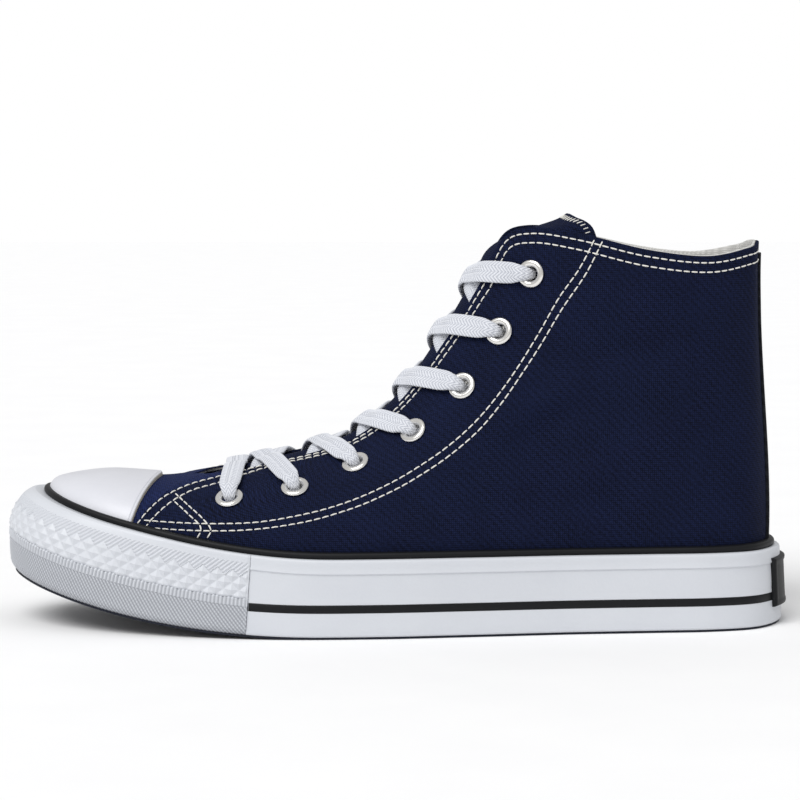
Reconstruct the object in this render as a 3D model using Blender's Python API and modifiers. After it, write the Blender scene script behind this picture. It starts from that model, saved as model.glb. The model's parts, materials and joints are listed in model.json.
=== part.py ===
"""High-top canvas sneaker, left shoe, standing empty on its sole.

Metres, +Z up. The toe points to -X and the outer side of the foot is at -Y.
The origin is on the ground under the middle of the shoe's box.
"""

import functools
import math

import bmesh
import bpy
import numpy as np
from mathutils import Matrix, Vector

# Sole
SOLE_LENGTH = 0.2975
BALL_WIDTH = 0.104
SIDEWALL_HEIGHT = 0.0293
TOE_RISE = 0.003  # how much taller the sidewall is round the toe
TOE_RISE_START = 0.44  # share of the length from the toe where it begins
TOE_RISE_RUN = 0.32
TOE_SPRING = 0.0194
SPRING_START = 0.415  # share of the length from the toe where the sole leaves the ground
SPRING_POWER = 2.2
SIDE_LEAN = 0.0015  # how far the top of the sidewall leans in
LEAN_RUN = 0.2  # share of the length over which the lean grows from the tip
SIDEWALL_WALL = 0.0042
SIDEWALL_ROUND = 0.0008
OUTSOLE_DEPTH = 0.0070
FLANGE_DEPTH = 0.0007
FLANGE_INSET = 0.0009
WAIST_RELIEF = 0.0015
WAIST_START = 0.52  # the waist's hollow, as shares of the length from the toe
WAIST_END = 0.74
WAIST_RUN = 0.06
RELIEF_BORDER = 0.013
RELIEF_SLOPE = 0.002
STRIPE_LOW = 0.0097
STRIPE_HEIGHT = 0.0030
STRIPE_DEPTH = 0.0009
STRIPE_CLEAR = 0.004  # between the stripe's ends and the bumper, in turns round the sole
STRIP_STEP = 0.0004  # the top strip of the sidewall stands this much proud
STRIP_HEIGHT = 0.0054
PIPING_HEIGHT = 0.0021
PIPING_WIDTH = 0.0026
PIPING_ROUND = 0.0006
BUMPER_WALL = 0.0024
BUMPER_PROUD = 0.0005
BUMPER_SHARE = 0.312  # share of the length where the bumper ends
BUMPER_CLEAR = 0.0012  # between the bumper's ends and the seam, in turns round the sole
BUMPER_FOOT = 0.0030
BUMPER_FOOT_ROUND = 0.0016
BUMPER_GROOVE = 0.0146
BUMPER_LINE = 0.0005  # depth and half height of the bumper's grooves
BUMPER_LIP = 0.0026  # height of its smooth top band
BUMPER_ROWS = 4
BUMPER_ROW = 0.0026  # height of one row of the bumper's pyramids
BUMPER_RIB = 0.0006
TOE_BULGE = 0.0062  # how far the bumper swells at the tip
TOE_BULGE_SHARE = 0.24
SEAM = 0.0006  # half width of the sidewall's step at the bumper, in turns round the sole
LABEL_LOW = 0.0071
LABEL_HEIGHT = 0.0186
LABEL_WIDTH = 0.040
LABEL_WALL = 0.0016
LABEL_ROUND = 0.0004
INSOLE_WALL = 0.0045
INSOLE_ROUND = 0.001

# Upper
VAMP_HEIGHT = 0.0550  # inside of the toe box top, over the ground
SHAFT_HEIGHT = 0.1510
VAMP_WALL = 0.0016
QUARTER_WALL = 0.0024
CAP_WALL = 0.0012
STAY_WALL = 0.0009
STAY_DROP = 0.0045  # the heel stay ends this far under the collar
TONGUE_WALL = 0.0020
TONGUE_GAP = 0.0010  # under the flaps, whose own curve takes up most of it
TONGUE_BULGE = 0.0032
TONGUE_LAP = 0.016

# Eyelets and lace
EYELET_COUNT = 7
EYELET_FLANGE = 0.00535
EYELET_HOLE = 0.0028
EYELET_WALL = 0.0005
EYELET_TOP = 0.0014
EYELET_SEAT = 0.0008
EYELET_ROUND = 0.0004
EYELET_SIDES = 10
HOLE_DEPTH = 0.012  # length of the cutter for an eyelet's hole
LACE_WIDTH = 0.0085
LACE_WALL = 0.0014
LACE_CLEAR = 0.0008  # between the lace and what it lies on
LACE_OVER = 0.0006  # how far the upper strand of a crossing stands over the other
BAR_DROP = 0.0022  # how far the middle of the lowest bar hangs towards the toe
LACE_END = 0.60  # share of the way from eyelet to eyelet where a strand goes under the flap

GAP = 0.0003
FIT_GAP = 0.0005
WELD = 0.0001

LOOP_STATIONS = 52
BUMPER_STATIONS = 48
LABEL_STATIONS = 8
BAND_ROWS = 2
WALL_ROWS = 7

# The sole's outline. Shares of the length from the toe, and shares of the ball width
# from a line through the middle of the heel to the outer and the inner side.
PLAN_COLUMNS = ("along", "outer", "inner")
PLAN = (
    (0.000, -0.050, 0.050),
    (0.010, 0.085, 0.185),
    (0.040, 0.215, 0.305),
    (0.100, 0.340, 0.400),
    (0.180, 0.432, 0.455),
    (0.270, 0.492, 0.480),
    (0.370, 0.520, 0.460),
    (0.480, 0.505, 0.400),
    (0.600, 0.455, 0.335),
    (0.720, 0.400, 0.318),
    (0.820, 0.368, 0.328),
    (0.900, 0.340, 0.328),
    (0.960, 0.268, 0.264),
    (0.990, 0.140, 0.140),
    (1.000, 0.000, 0.000),
)

# The last that the upper is shaped on, as sections that rise from the sole to the top edge.
# foot: where the section leaves the sole, share of the length from the toe
# along, out: its top end, share of the length, and of the ball width from the middle
# climb: its top end between VAMP_HEIGHT and SHAFT_HEIGHT
# rise: how far it keeps the sidewall's direction, share of its own height
# flare: how far it swells outwards there, share of the ball width
# back, spread, drop: the direction it arrives from, shares of the length, of its own
# width and of its own height
SECTION_COLUMNS = ("name", "foot", "along", "out", "climb", "rise", "flare", "back", "spread", "drop")
SECTIONS = (
    ("toe", 0.000, 0.098, 0.000, -0.026, 0.60, 0.000, -0.045, 0.00, 0.00),
    ("toe_corner", 0.022, 0.106, 0.000, -0.018, 0.62, 0.000, -0.028, 0.45, 0.00),
    ("cap_side", 0.075, 0.135, 0.000, -0.010, 0.64, 0.000, -0.010, 0.60, 0.00),
    ("cap_rear", 0.136, 0.195, 0.000, -0.020, 0.60, 0.000, -0.008, 0.60, 0.01),
    ("vamp_end", 0.146, 0.236, 0.000, -0.010, 0.54, 0.000, -0.022, 0.58, 0.02),
    ("throat_base", 0.152, 0.250, 0.060, -0.002, 0.48, 0.000, -0.038, 0.55, 0.08),
    ("quarter_front", 0.160, 0.266, 0.115, 0.006, 0.42, 0.000, -0.044, 0.50, 0.16),
    ("throat_low", 0.255, 0.340, 0.135, 0.045, 0.48, 0.000, -0.018, 0.48, 0.22),
    ("instep", 0.370, 0.440, 0.135, 0.135, 0.45, 0.000, 0.000, 0.44, 0.28),
    ("ankle_bend", 0.470, 0.508, 0.130, 0.300, 0.41, 0.000, 0.010, 0.42, 0.30),
    ("throat_mid", 0.545, 0.568, 0.130, 0.555, 0.38, 0.000, 0.014, 0.42, 0.30),
    ("throat_high", 0.605, 0.612, 0.135, 0.785, 0.36, 0.000, 0.014, 0.42, 0.28),
    ("corner", 0.650, 0.640, 0.145, 0.955, 0.34, 0.000, 0.014, 0.42, 0.26),
    ("corner_top", 0.700, 0.676, 0.215, 1.000, 0.33, 0.000, 0.006, 0.16, 0.30),
    ("collar_front", 0.765, 0.735, 0.290, 0.975, 0.33, 0.000, 0.000, 0.02, 0.32),
    ("collar_side", 0.840, 0.815, 0.335, 0.915, 0.33, 0.000, 0.000, 0.00, 0.34),
    ("collar_back", 0.925, 0.888, 0.280, 0.890, 0.33, 0.008, -0.001, 0.00, 0.34),
    ("collar_heel", 0.975, 0.942, 0.180, 0.920, 0.33, 0.022, -0.004, 0.00, 0.34),
    ("stay_edge", 0.995, 0.954, 0.090, 0.940, 0.33, 0.030, -0.005, 0.00, 0.34),
    ("heel", 1.000, 0.958, 0.000, 0.945, 0.33, 0.033, -0.006, 0.00, 0.34),
)
SECTION_STEPS = 2
STEP_WIDTH = 0.06  # width of the quarter's edge, in sections
THROAT_END = 0.5  # the tongue's rows and the laces end this far before the corner, in sections
LAP_START = 0.5  # the tongue starts this far behind the toe cap, in sections

PATH_STEPS = 200  # samples along a path whose length is measured
WALK_STEP = 0.005  # one step up a section that is walked, as a share of its height
LOOP_STEP = 1e-4  # a short way along the outline, for its direction
SECTION_STEP = 1e-3  # a short way along or up the sections, for their directions
SEAM_ROOM = 0.2  # share of a station's width that stays free beside the bumper's ends

# The line of the eyelets over the quarter, from the toe end up: a place between the
# sections and a height on them.
EYELET_LINE = ((6.91, 0.482), (7.6, 0.575), (8.3, 0.705), (9.3, 0.69), (10.3, 0.68), (11.5, 0.71), (12.85, 0.845))

# The free top of the tongue over its last section.
# back, up: how far it has moved, shares of the length and of the shaft's height
# keep: share of its width there
# trail, fall: how far its sides lie behind and under its middle, in the same shares
TONGUE_COLUMNS = ("back", "up", "keep", "trail", "fall")
TONGUE_TOP = (
    (0.026, 0.034, 1.04, 0.000, 0.000),
    (0.060, 0.058, 1.08, 0.010, 0.000),
    (0.088, 0.077, 1.08, 0.020, 0.010),
    (0.104, 0.096, 1.00, 0.026, 0.042),
)

# The bumper's swell at the tip: height as a share of the sidewall, and share of TOE_BULGE.
BULGE_SHAPE = (np.array([0.0, 0.3, 0.58, 0.8, 0.94, 1.0]), np.array([0.0, 0.64, 1.0, 0.89, 0.55, 0.25]))

OUTER, INNER = -1, 1


def clear_scene():
    for obj in list(bpy.data.objects):
        bpy.data.objects.remove(obj)


def collection(name):
    made = bpy.data.collections.new(name)
    bpy.context.scene.collection.children.link(made)
    return made


def material(name, colour, roughness, metallic=0.0):
    made = bpy.data.materials.new(name)
    made.use_nodes = True
    shader = made.node_tree.nodes["Principled BSDF"]
    shader.inputs["Base Color"].default_value = (*colour, 1.0)
    shader.inputs["Roughness"].default_value = roughness
    shader.inputs["Metallic"].default_value = metallic
    return made


def column(table, columns, name):
    """One named column of a table, as an array."""
    return np.array([row[columns.index(name)] for row in table])


def smooth(stations, values, at):
    """The value at a place on a smooth curve through the values at the stations."""
    slopes = np.gradient(values, stations, axis=0)
    i = int(np.clip(np.searchsorted(stations, at) - 1, 0, len(stations) - 2))
    span = stations[i + 1] - stations[i]
    t = (at - stations[i]) / span
    start = (1 + 2 * t) * (1 - t) ** 2 * values[i] + t * (1 - t) ** 2 * span * slopes[i]
    return start + t * t * (3 - 2 * t) * values[i + 1] + t * t * (t - 1) * span * slopes[i + 1]


def eased(share):
    """0 to 1 with flat ends."""
    share = min(1.0, max(0.0, share))
    return share * share * (3 - 2 * share)


def plan_table():
    """The outline once round from the toe, with two rows more at each end: angle and y."""
    angles = np.arccos(1 - 2 * column(PLAN, PLAN_COLUMNS, "along"))
    outer = -column(PLAN, PLAN_COLUMNS, "outer") * BALL_WIDTH
    inner = column(PLAN, PLAN_COLUMNS, "inner") * BALL_WIDTH
    angles = np.concatenate([angles, 2 * math.pi - angles[-2:0:-1]])
    sides = np.concatenate([outer, inner[-2:0:-1]])
    sides -= (sides.max() + sides.min()) / 2
    turn = 2 * math.pi
    angles = np.concatenate([angles[-2:] - turn, angles, angles[:3] + turn])
    return angles, np.concatenate([sides[-2:], sides, sides[:3]])


PLAN_ANGLES, PLAN_SIDES = plan_table()


def outline(loop):
    """A point of the sole's outline; loop runs from 0 at the toe, 1 at the heel, to 2 again."""
    angle = math.pi * (loop % 2.0)
    return np.array([-math.cos(angle) * SOLE_LENGTH / 2, smooth(PLAN_ANGLES, PLAN_SIDES, angle)])


def inset_outline(loop, inset):
    before, after = outline(loop - LOOP_STEP), outline(loop + LOOP_STEP)
    run = after - before
    inward = np.array([-run[1], run[0]]) / np.linalg.norm(run)
    return (before + after) / 2 + inward * inset


def share_of(loop):
    """Share of the sole's length from the toe."""
    return (1 - math.cos(math.pi * loop)) / 2


def loop_at(share, side):
    turn = math.acos(1 - 2 * share) / math.pi
    return turn if side == OUTER else 2 - turn


def ground(x):
    """Height and slope of the sole's underside."""
    start = (SPRING_START - 0.5) * SOLE_LENGTH
    reach = SPRING_START * SOLE_LENGTH
    share = max(0.0, (start - x) / reach)
    slope = -TOE_SPRING * SPRING_POWER * share ** (SPRING_POWER - 1) / reach
    return TOE_SPRING * share**SPRING_POWER, slope


def sidewall_top(loop):
    return SIDEWALL_HEIGHT + TOE_RISE * eased((TOE_RISE_START - share_of(loop)) / TOE_RISE_RUN)


def lean(loop, height):
    """How far the sole's side has leaned in at this height. It stands square at the tip."""
    return SIDE_LEAN * eased(share_of(loop) / LEAN_RUN) * height / SIDEWALL_HEIGHT


def bulge(loop, height):
    """How far the toe bumper swells out at this height."""
    share = height / sidewall_top(loop)
    fade = max(0.0, 1 - share_of(loop) / TOE_BULGE_SHARE) ** 1.5
    return TOE_BULGE * fade * smooth(*BULGE_SHAPE, min(1.0, share))


def sole_point(loop, inset, height):
    """A point this far inside the sole's side and this high over its underside."""
    x, y = inset_outline(loop, inset + lean(loop, height))
    z, slope = ground(x)
    size = math.hypot(1, slope)
    return np.array([x - slope / size * height, y, z + height / size])


def new_object(name, mesh, finish, group):
    obj = bpy.data.objects.new(name, mesh)
    mesh.materials.append(finish)
    group.objects.link(obj)
    return obj


def mesh_of(name, bm, angle=math.radians(35)):
    mesh = bpy.data.meshes.new(name)
    bmesh.ops.remove_doubles(bm, verts=bm.verts, dist=WELD / 5)
    bmesh.ops.recalc_face_normals(bm, faces=bm.faces)
    bm.to_mesh(mesh)
    bm.free()
    mesh.shade_smooth()
    mesh.set_sharp_from_angle(angle=angle)
    return mesh


def loft(name, rings, closed):
    """A solid through rings of points, joined end to end or capped."""
    bm = bmesh.new()
    loops = [[bm.verts.new(point) for point in ring] for ring in rings]
    pairs = list(zip(loops, loops[1:]))
    if closed:
        pairs.append((loops[-1], loops[0]))
    for one, two in pairs:
        for j in range(len(one)):
            k = (j + 1) % len(one)
            bm.faces.new((one[j], two[j], two[k], one[k]))
    if not closed:
        bm.faces.new(loops[0])
        bm.faces.new(loops[-1][::-1])
    return mesh_of(name, bm)


def sheet(name, rows, wrap=False):
    """An open surface through rows of points."""
    bm = bmesh.new()
    verts = [[bm.verts.new(point) for point in row] for row in rows]
    pairs = list(zip(verts, verts[1:]))
    if wrap:
        pairs.append((verts[-1], verts[0]))
    for one, two in pairs:
        for j in range(len(one) - 1):
            bm.faces.new((one[j], two[j], two[j + 1], one[j + 1]))
    bmesh.ops.remove_doubles(bm, verts=bm.verts, dist=WELD)
    mesh = bpy.data.meshes.new(name)
    bm.to_mesh(mesh)
    bm.free()
    mesh.shade_smooth()
    return mesh


def thicken(obj, wall, group=""):
    """Solidify towards the side that the faces look at."""
    shell = obj.modifiers.new("wall", "SOLIDIFY")
    shell.thickness = wall
    shell.offset = 1.0
    if group:
        shell.vertex_group = group
    return shell


def band(name, profile, loops, closed):
    """A strip along the sole's side. profile(loop) lists its corners as inset and height."""
    rings = [[sole_point(loop, *corner) for corner in profile(loop)] for loop in loops]
    return loft(name, rings, closed)


def all_round():
    """Stations round the sole, with two at each seam of the bumper, the same for every piece."""
    seams = [loop_at(BUMPER_SHARE, side) + shift for side in (OUTER, INNER) for shift in (-SEAM, SEAM)]
    evenly = [2 * i / LOOP_STATIONS for i in range(LOOP_STATIONS)]
    apart = [loop for loop in evenly if min(abs(loop - seam) for seam in seams) > SEAM_ROOM / LOOP_STATIONS]
    return sorted(apart + seams)


def sides_round(count, start, end):
    return [start + (end - start) * i / count for i in range(count + 1)]


def under_bumper(loop):
    return share_of(loop) < BUMPER_SHARE - 1e-6


def sidewall_profile(loop):
    top = sidewall_top(loop)
    low = FLANGE_DEPTH + GAP
    groove_low = STRIPE_LOW - GAP
    groove_high = STRIPE_LOW + STRIPE_HEIGHT + GAP
    depth = STRIPE_DEPTH + GAP
    step = top - STRIP_HEIGHT
    shoulder = top - SIDEWALL_ROUND
    if under_bumper(loop):
        back = BUMPER_WALL + GAP
        outside = [(back, height) for height in (low, groove_low, groove_low, groove_high, groove_high)]
        outside += [(back, step), (back, step), (back, shoulder), (back, top)]
    else:
        outside = [(0, low), (0, groove_low), (depth, groove_low), (depth, groove_high), (0, groove_high)]
        outside += [(0, step), (-STRIP_STEP, step + STRIP_STEP), (-STRIP_STEP, shoulder)]
        outside += [(STRIP_STEP, top)]
    return [(SIDEWALL_WALL, low)] + outside + [(SIDEWALL_WALL, top)]


def make_sidewall(finish, group):
    return new_object("sidewall", band("sidewall", sidewall_profile, all_round(), True), finish, group)


def make_piping(finish, group):
    def profile(loop):
        low = sidewall_top(loop) + GAP
        high = low + PIPING_HEIGHT
        back = SIDEWALL_WALL - GAP
        front = back - PIPING_WIDTH
        return [(front, low), (front + PIPING_ROUND, high), (back, high), (back, low)]

    return new_object("piping", band("piping", profile, all_round(), True), finish, group)


def make_stripe(finish, group):
    start = loop_at(BUMPER_SHARE, OUTER) + STRIPE_CLEAR
    end = loop_at(BUMPER_SHARE, INNER) - STRIPE_CLEAR

    def profile(loop):
        high = STRIPE_LOW + STRIPE_HEIGHT
        return [(0.0, STRIPE_LOW), (0.0, high), (STRIPE_DEPTH, high), (STRIPE_DEPTH, STRIPE_LOW)]

    loops = [start] + [loop for loop in all_round() if start < loop < end] + [end]
    return new_object("stripe", band("stripe", profile, loops, False), finish, group)


def bumper_profile(loop, odd):
    """The toe bumper: a fine lower band, a groove, rows of pyramids and two upper bands."""
    top = sidewall_top(loop)
    low = FLANGE_DEPTH + GAP
    face = -BUMPER_PROUD
    foot = BUMPER_GROOVE
    lip = top - BUMPER_LIP
    corners = [(face + BUMPER_FOOT_ROUND, low), (face, low + BUMPER_FOOT), (face, foot - BUMPER_LINE)]
    corners.append((face + BUMPER_LINE, foot))
    for row in range(BUMPER_ROWS):
        raised = BUMPER_RIB if (row + odd) % 2 else 0.0
        corners.append((face + BUMPER_RIB / 2 - raised, foot + BUMPER_LINE + row * BUMPER_ROW))
    corners += [(face + BUMPER_LINE, lip - BUMPER_LINE), (face, lip), (face + BUMPER_LINE, top)]
    return corners + [(BUMPER_WALL, top), (BUMPER_WALL, low)]


def make_bumper(finish, group):
    start = loop_at(BUMPER_SHARE, INNER) + BUMPER_CLEAR - 2
    end = loop_at(BUMPER_SHARE, OUTER) - BUMPER_CLEAR
    loops = sides_round(BUMPER_STATIONS, start, end)
    rings = []
    for i, loop in enumerate(loops):
        face = bumper_profile(loop, i % 2)
        swollen = [(inset - bulge(loop, height), height) for inset, height in face[:-2]]
        rings.append([sole_point(loop, *corner) for corner in swollen + face[-2:]])
    return new_object("toe_bumper", loft("toe_bumper", rings, False), finish, group)


def heel_half(width):
    """How far round from the heel's middle the outline has gone out by half this width."""
    turns = np.linspace(0.0, 0.5, PATH_STEPS)
    reach = [abs(outline(1 - turn)[1] - outline(1.0)[1]) for turn in turns]
    return float(np.interp(width / 2, reach, turns))


def make_label(finish, group):
    """The plain rubber label on the back of the heel."""
    def profile(loop):
        high = LABEL_LOW + LABEL_HEIGHT
        near = -GAP - STRIP_STEP
        far = -GAP - LABEL_WALL
        return [(near, LABEL_LOW), (far, LABEL_LOW + LABEL_ROUND), (far, high - LABEL_ROUND), (near, high)]

    half = heel_half(LABEL_WIDTH)
    loops = sides_round(LABEL_STATIONS, 1 - half, 1 + half)
    return new_object("heel_label", band("heel_label", profile, loops, False), finish, group)


def across(points, flip):
    """Faces over a closed ring whose two halves mirror each other along the shoe."""
    count = len(points)
    faces = []
    for i in range(count // 2):
        quad = [points[i], points[i + 1], points[(count - i - 1) % count], points[(count - i) % count]]
        corners = list(dict.fromkeys(quad))
        faces.append(corners[::-1] if flip else corners)
    return faces


def plate(name, profile, loops):
    """A solid whose side follows a profile and whose top and underside are ruled across."""
    bm = bmesh.new()
    rings = [[bm.verts.new(sole_point(loop, *profile(loop)[k])) for loop in loops]
             for k in range(len(profile(0.0)))]
    for one, two in zip(rings, rings[1:]):
        for j in range(len(one)):
            k = (j + 1) % len(one)
            bm.faces.new((one[j], one[k], two[k], two[j]))
    for corners in across(rings[0], True) + across(rings[-1], False):
        bm.faces.new(corners)
    return mesh_of(name, bm)


def make_outsole(finish, group):
    """The tread layer: a thin flange under the sidewall and the body inside it."""
    def profile(loop):
        share = share_of(loop)
        hollow = WAIST_RELIEF * eased((share - WAIST_START) / WAIST_RUN)
        hollow *= eased((WAIST_END - share) / WAIST_RUN)
        inside = SIDEWALL_WALL + GAP
        return [(RELIEF_BORDER + RELIEF_SLOPE, hollow), (RELIEF_BORDER, 0.0), (FLANGE_INSET, 0.0),
                (FLANGE_INSET, FLANGE_DEPTH), (inside, FLANGE_DEPTH), (inside, OUTSOLE_DEPTH)]

    return new_object("outsole", plate("outsole", profile, all_round()), finish, group)


def make_insole(finish, group):
    def profile(loop):
        inside = SIDEWALL_WALL + FIT_GAP + QUARTER_WALL + 2 * GAP
        low = OUTSOLE_DEPTH + GAP
        high = low + INSOLE_WALL
        return [(inside, low), (inside, high - INSOLE_ROUND), (inside + INSOLE_ROUND, high)]

    return new_object("insole", plate("insole", profile, all_round()), finish, group)


SECTION_NAMES = [row[0] for row in SECTIONS]
SECTION_VALUES = np.array([row[1:] for row in SECTIONS])


def place(name):
    return float(SECTION_NAMES.index(name))


@functools.lru_cache(maxsize=None)
def section(u):
    values = smooth(np.arange(len(SECTIONS)), SECTION_VALUES, u)
    named = dict(zip(SECTION_COLUMNS[1:], values))
    named["foot"] = min(1.0, max(0.0, named["foot"]))
    named["out"] = 0.0 if u <= place("vamp_end") else max(0.0, named["out"])
    return named


def middle(x):
    """The shoe's middle line: it bends to the inner side towards the toe."""
    tip, heel = outline(0.0)[1], outline(1.0)[1]
    return heel + (tip - heel) * eased(0.5 - x / SOLE_LENGTH)


def band_point(side, u, height):
    """A point of the last beside the sidewall."""
    loop = loop_at(section(u)["foot"], side)
    return sole_point(loop, SIDEWALL_WALL + FIT_GAP + QUARTER_WALL, height)


@functools.lru_cache(maxsize=None)
def controls(side, u):
    """The four control points of a section over the sidewall."""
    row = section(u)
    loop = loop_at(row["foot"], side)
    top = sidewall_top(loop)
    start = band_point(side, u, top)
    run = start - band_point(side, u, 0.9 * top)
    away = sole_point(loop, 0.0, top) - start
    x = (row["along"] - 0.5) * SOLE_LENGTH
    end = np.array([x, middle(x) + side * row["out"] * BALL_WIDTH,
                    VAMP_HEIGHT + row["climb"] * (SHAFT_HEIGHT - VAMP_HEIGHT)])
    tall = end[2] - start[2]
    wide = abs(start[1] - end[1])
    first = start + run / np.linalg.norm(run) * row["rise"] * tall
    first += away / np.linalg.norm(away) * row["flare"] * BALL_WIDTH
    second = end + np.array([row["back"] * SOLE_LENGTH, side * row["spread"] * wide, -row["drop"] * tall])
    return start, first, second, end


def last_point(side, u, v):
    """The last's surface: v is -1 at the sole, 0 at the sidewall's top and 1 at the top edge."""
    if v < 0:
        loop = loop_at(section(u)["foot"], side)
        low = OUTSOLE_DEPTH + GAP
        return band_point(side, u, low + (1 + v) * (sidewall_top(loop) - low))
    a, b, c, d = controls(side, u)
    w = 1 - v
    return w**3 * a + 3 * w * w * v * b + 3 * w * v * v * c + v**3 * d


def normal(side, u, v):
    last = len(SECTIONS) - 1
    u0, u1 = max(0.0, u - SECTION_STEP), min(float(last), u + SECTION_STEP)
    v0, v1 = max(-1.0, v - SECTION_STEP), min(1.0, v + SECTION_STEP)
    along = last_point(side, u1, v) - last_point(side, u0, v)
    up = last_point(side, u, v1) - last_point(side, u, v0)
    out = -side * np.cross(along, up)
    if v >= 1.0 and u <= place("vamp_end"):
        out[1] = 0.0
    return out / np.linalg.norm(out)


def skin(side, u, v, offset):
    return last_point(side, u, v) + offset * normal(side, u, v)


def stations(start, end):
    steps = [start + i / SECTION_STEPS for i in range(int((end - start) * SECTION_STEPS) + 1)]
    edge = place("quarter_front")
    if start < edge < end:
        steps.append(edge - STEP_WIDTH)
    return sorted(steps)


def heights():
    band_rows = [-1 + i / BAND_ROWS for i in range(BAND_ROWS)]
    return band_rows + [i / WALL_ROWS for i in range(WALL_ROWS + 1)]


def make_upper(finish, group):
    """Vamp and quarters as one hollow wall, open underneath, at the throat and the collar."""
    us = stations(0.0, place("heel"))
    route = [(OUTER, u) for u in us] + [(INNER, u) for u in us[-2:0:-1]]
    rows = [[last_point(side, u, v) for v in heights()] for side, u in route]
    mesh = sheet("upper", rows, wrap=True)
    obj = new_object("upper", mesh, finish, group)
    quarter = obj.vertex_groups.new(name="wall")
    points = np.array([row[j] for row in rows for j in range(len(row))])
    edges = np.array([u for side, u in route for v in heights()])
    for vert in mesh.vertices:
        nearest = np.argmin(((points - np.array(vert.co)) ** 2).sum(axis=1))
        thick = edges[nearest] >= place("quarter_front") - STEP_WIDTH / 2
        quarter.add([vert.index], 1.0 if thick else VAMP_WALL / QUARTER_WALL, "REPLACE")
    thicken(obj, QUARTER_WALL, "wall")
    return obj


def wall_at(u):
    return QUARTER_WALL if u >= place("quarter_front") - STEP_WIDTH / 2 else VAMP_WALL


def v_above(side, u, distance):
    """Height on a section at this distance over the sidewall's top."""
    v, point = 0.0, last_point(side, u, 0.0)
    walked = 0.0
    while walked < distance and v < 1.0:
        v += WALK_STEP
        after = last_point(side, u, v)
        walked += np.linalg.norm(after - point)
        point = after
    return v


def make_toe_cap(finish, group):
    """A rubber shell over the front of the vamp."""
    us = stations(0.0, place("cap_rear"))
    offset = VAMP_WALL + FIT_GAP
    rows = []
    for side, u in [(OUTER, u) for u in us[::-1]] + [(INNER, u) for u in us[1:]]:
        low = v_above(side, u, PIPING_HEIGHT + 2 * GAP)
        spots = [1 - (1 - low) * i / WALL_ROWS for i in range(WALL_ROWS + 1)]
        rows.append([skin(side, u, v, offset) for v in spots])
    obj = new_object("toe_cap", sheet("toe_cap", rows), finish, group)
    thicken(obj, CAP_WALL)
    return obj


def make_heel_stay(finish, group):
    """The strip over the seam up the back of the heel."""
    offset = QUARTER_WALL + GAP
    last = place("heel")
    route = [(OUTER, last - 1), (OUTER, last - 0.5), (OUTER, last), (INNER, last - 0.5), (INNER, last - 1)]
    rows = []
    for side, u in route:
        low = v_above(side, u, PIPING_HEIGHT + 2 * GAP)
        high = 1 - STAY_DROP / (SHAFT_HEIGHT - SIDEWALL_HEIGHT)
        spots = [low + (high - low) * i / WALL_ROWS for i in range(WALL_ROWS + 1)]
        rows.append([skin(side, u, v, offset) for v in spots])
    obj = new_object("heel_stay", sheet("heel_stay", rows), finish, group)
    thicken(obj, STAY_WALL)
    return obj


def throat_out(u):
    """The direction straight out of the throat at a section."""
    run = last_point(OUTER, u + 0.1, 1.0) - last_point(OUTER, u - 0.1, 1.0)
    out = np.array([-run[2], 0.0, run[0]])
    return out / np.linalg.norm(out)


def tongue_point(u, share):
    """A point of the tongue's back between the flaps, from 0 at the outer one to 1 at the inner one."""
    outer, inner = [skin(side, u, 1.0, -TONGUE_WALL - TONGUE_GAP) for side in (OUTER, INNER)]
    start, full = place("throat_base"), place("throat_low")
    crown = TONGUE_BULGE * eased((u - start) / (full - start)) * (1 - (2 * share - 1) ** 2)
    return outer + (inner - outer) * share + throat_out(u) * crown


def tongue_row(u):
    """Points across the tongue at one section: under both laps and bulging between them."""
    laps = {}
    for side in (OUTER, INNER):
        start, _, _, end = controls(side, u)
        lap = TONGUE_LAP / np.linalg.norm(end - start)
        laps[side] = [skin(side, u, 1 - lap * share, -TONGUE_WALL - TONGUE_GAP) for share in (0.5, 1.0)]
    between = [tongue_point(u, i / 4) for i in range(5)]
    return laps[OUTER][::-1] + between + laps[INNER]


def tongue_top(last_row, shape):
    """The tongue's last row moved up and back, its sides trailing and falling."""
    centre = sum(last_row) / len(last_row)
    half = max(abs(point[1] - centre[1]) for point in last_row)
    moved = []
    for point in last_row:
        aside = ((point[1] - centre[1]) / half) ** 2
        back = (shape["back"] + shape["trail"] * aside) * SOLE_LENGTH
        up = (shape["up"] - shape["fall"] * aside) * SHAFT_HEIGHT
        across_centre = centre[1] + (point[1] - centre[1]) * shape["keep"]
        moved.append(np.array([point[0] + back, across_centre, point[2] + up]))
    return moved


def make_tongue(finish, group):
    start, end = place("cap_rear") + LAP_START, place("corner") - THROAT_END
    count = int((end - start) * SECTION_STEPS)
    rows = [tongue_row(start + (end - start) * i / count) for i in range(count + 1)]
    rows += [tongue_top(rows[count], dict(zip(TONGUE_COLUMNS, shape))) for shape in TONGUE_TOP]
    obj = new_object("tongue", sheet("tongue", rows), finish, group)
    thicken(obj, TONGUE_WALL)
    return obj


def eyelet_places(side):
    """Centres and outward directions of one side's eyelets, evenly spaced on their line."""
    line = np.array(EYELET_LINE)
    steps = np.linspace(0, len(line) - 1, PATH_STEPS)
    places = [smooth(np.arange(len(line)), line, s) for s in steps]
    points = np.array([skin(side, u, v, QUARTER_WALL) for u, v in places])
    walked = np.concatenate([[0], np.cumsum(np.linalg.norm(np.diff(points, axis=0), axis=1))])
    found = []
    for i in range(EYELET_COUNT):
        at = np.interp(walked[-1] * i / (EYELET_COUNT - 1), walked, steps)
        u, v = smooth(np.arange(len(line)), line, at)
        found.append((Vector(skin(side, u, v, QUARTER_WALL)), Vector(normal(side, u, v))))
    return found


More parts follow.
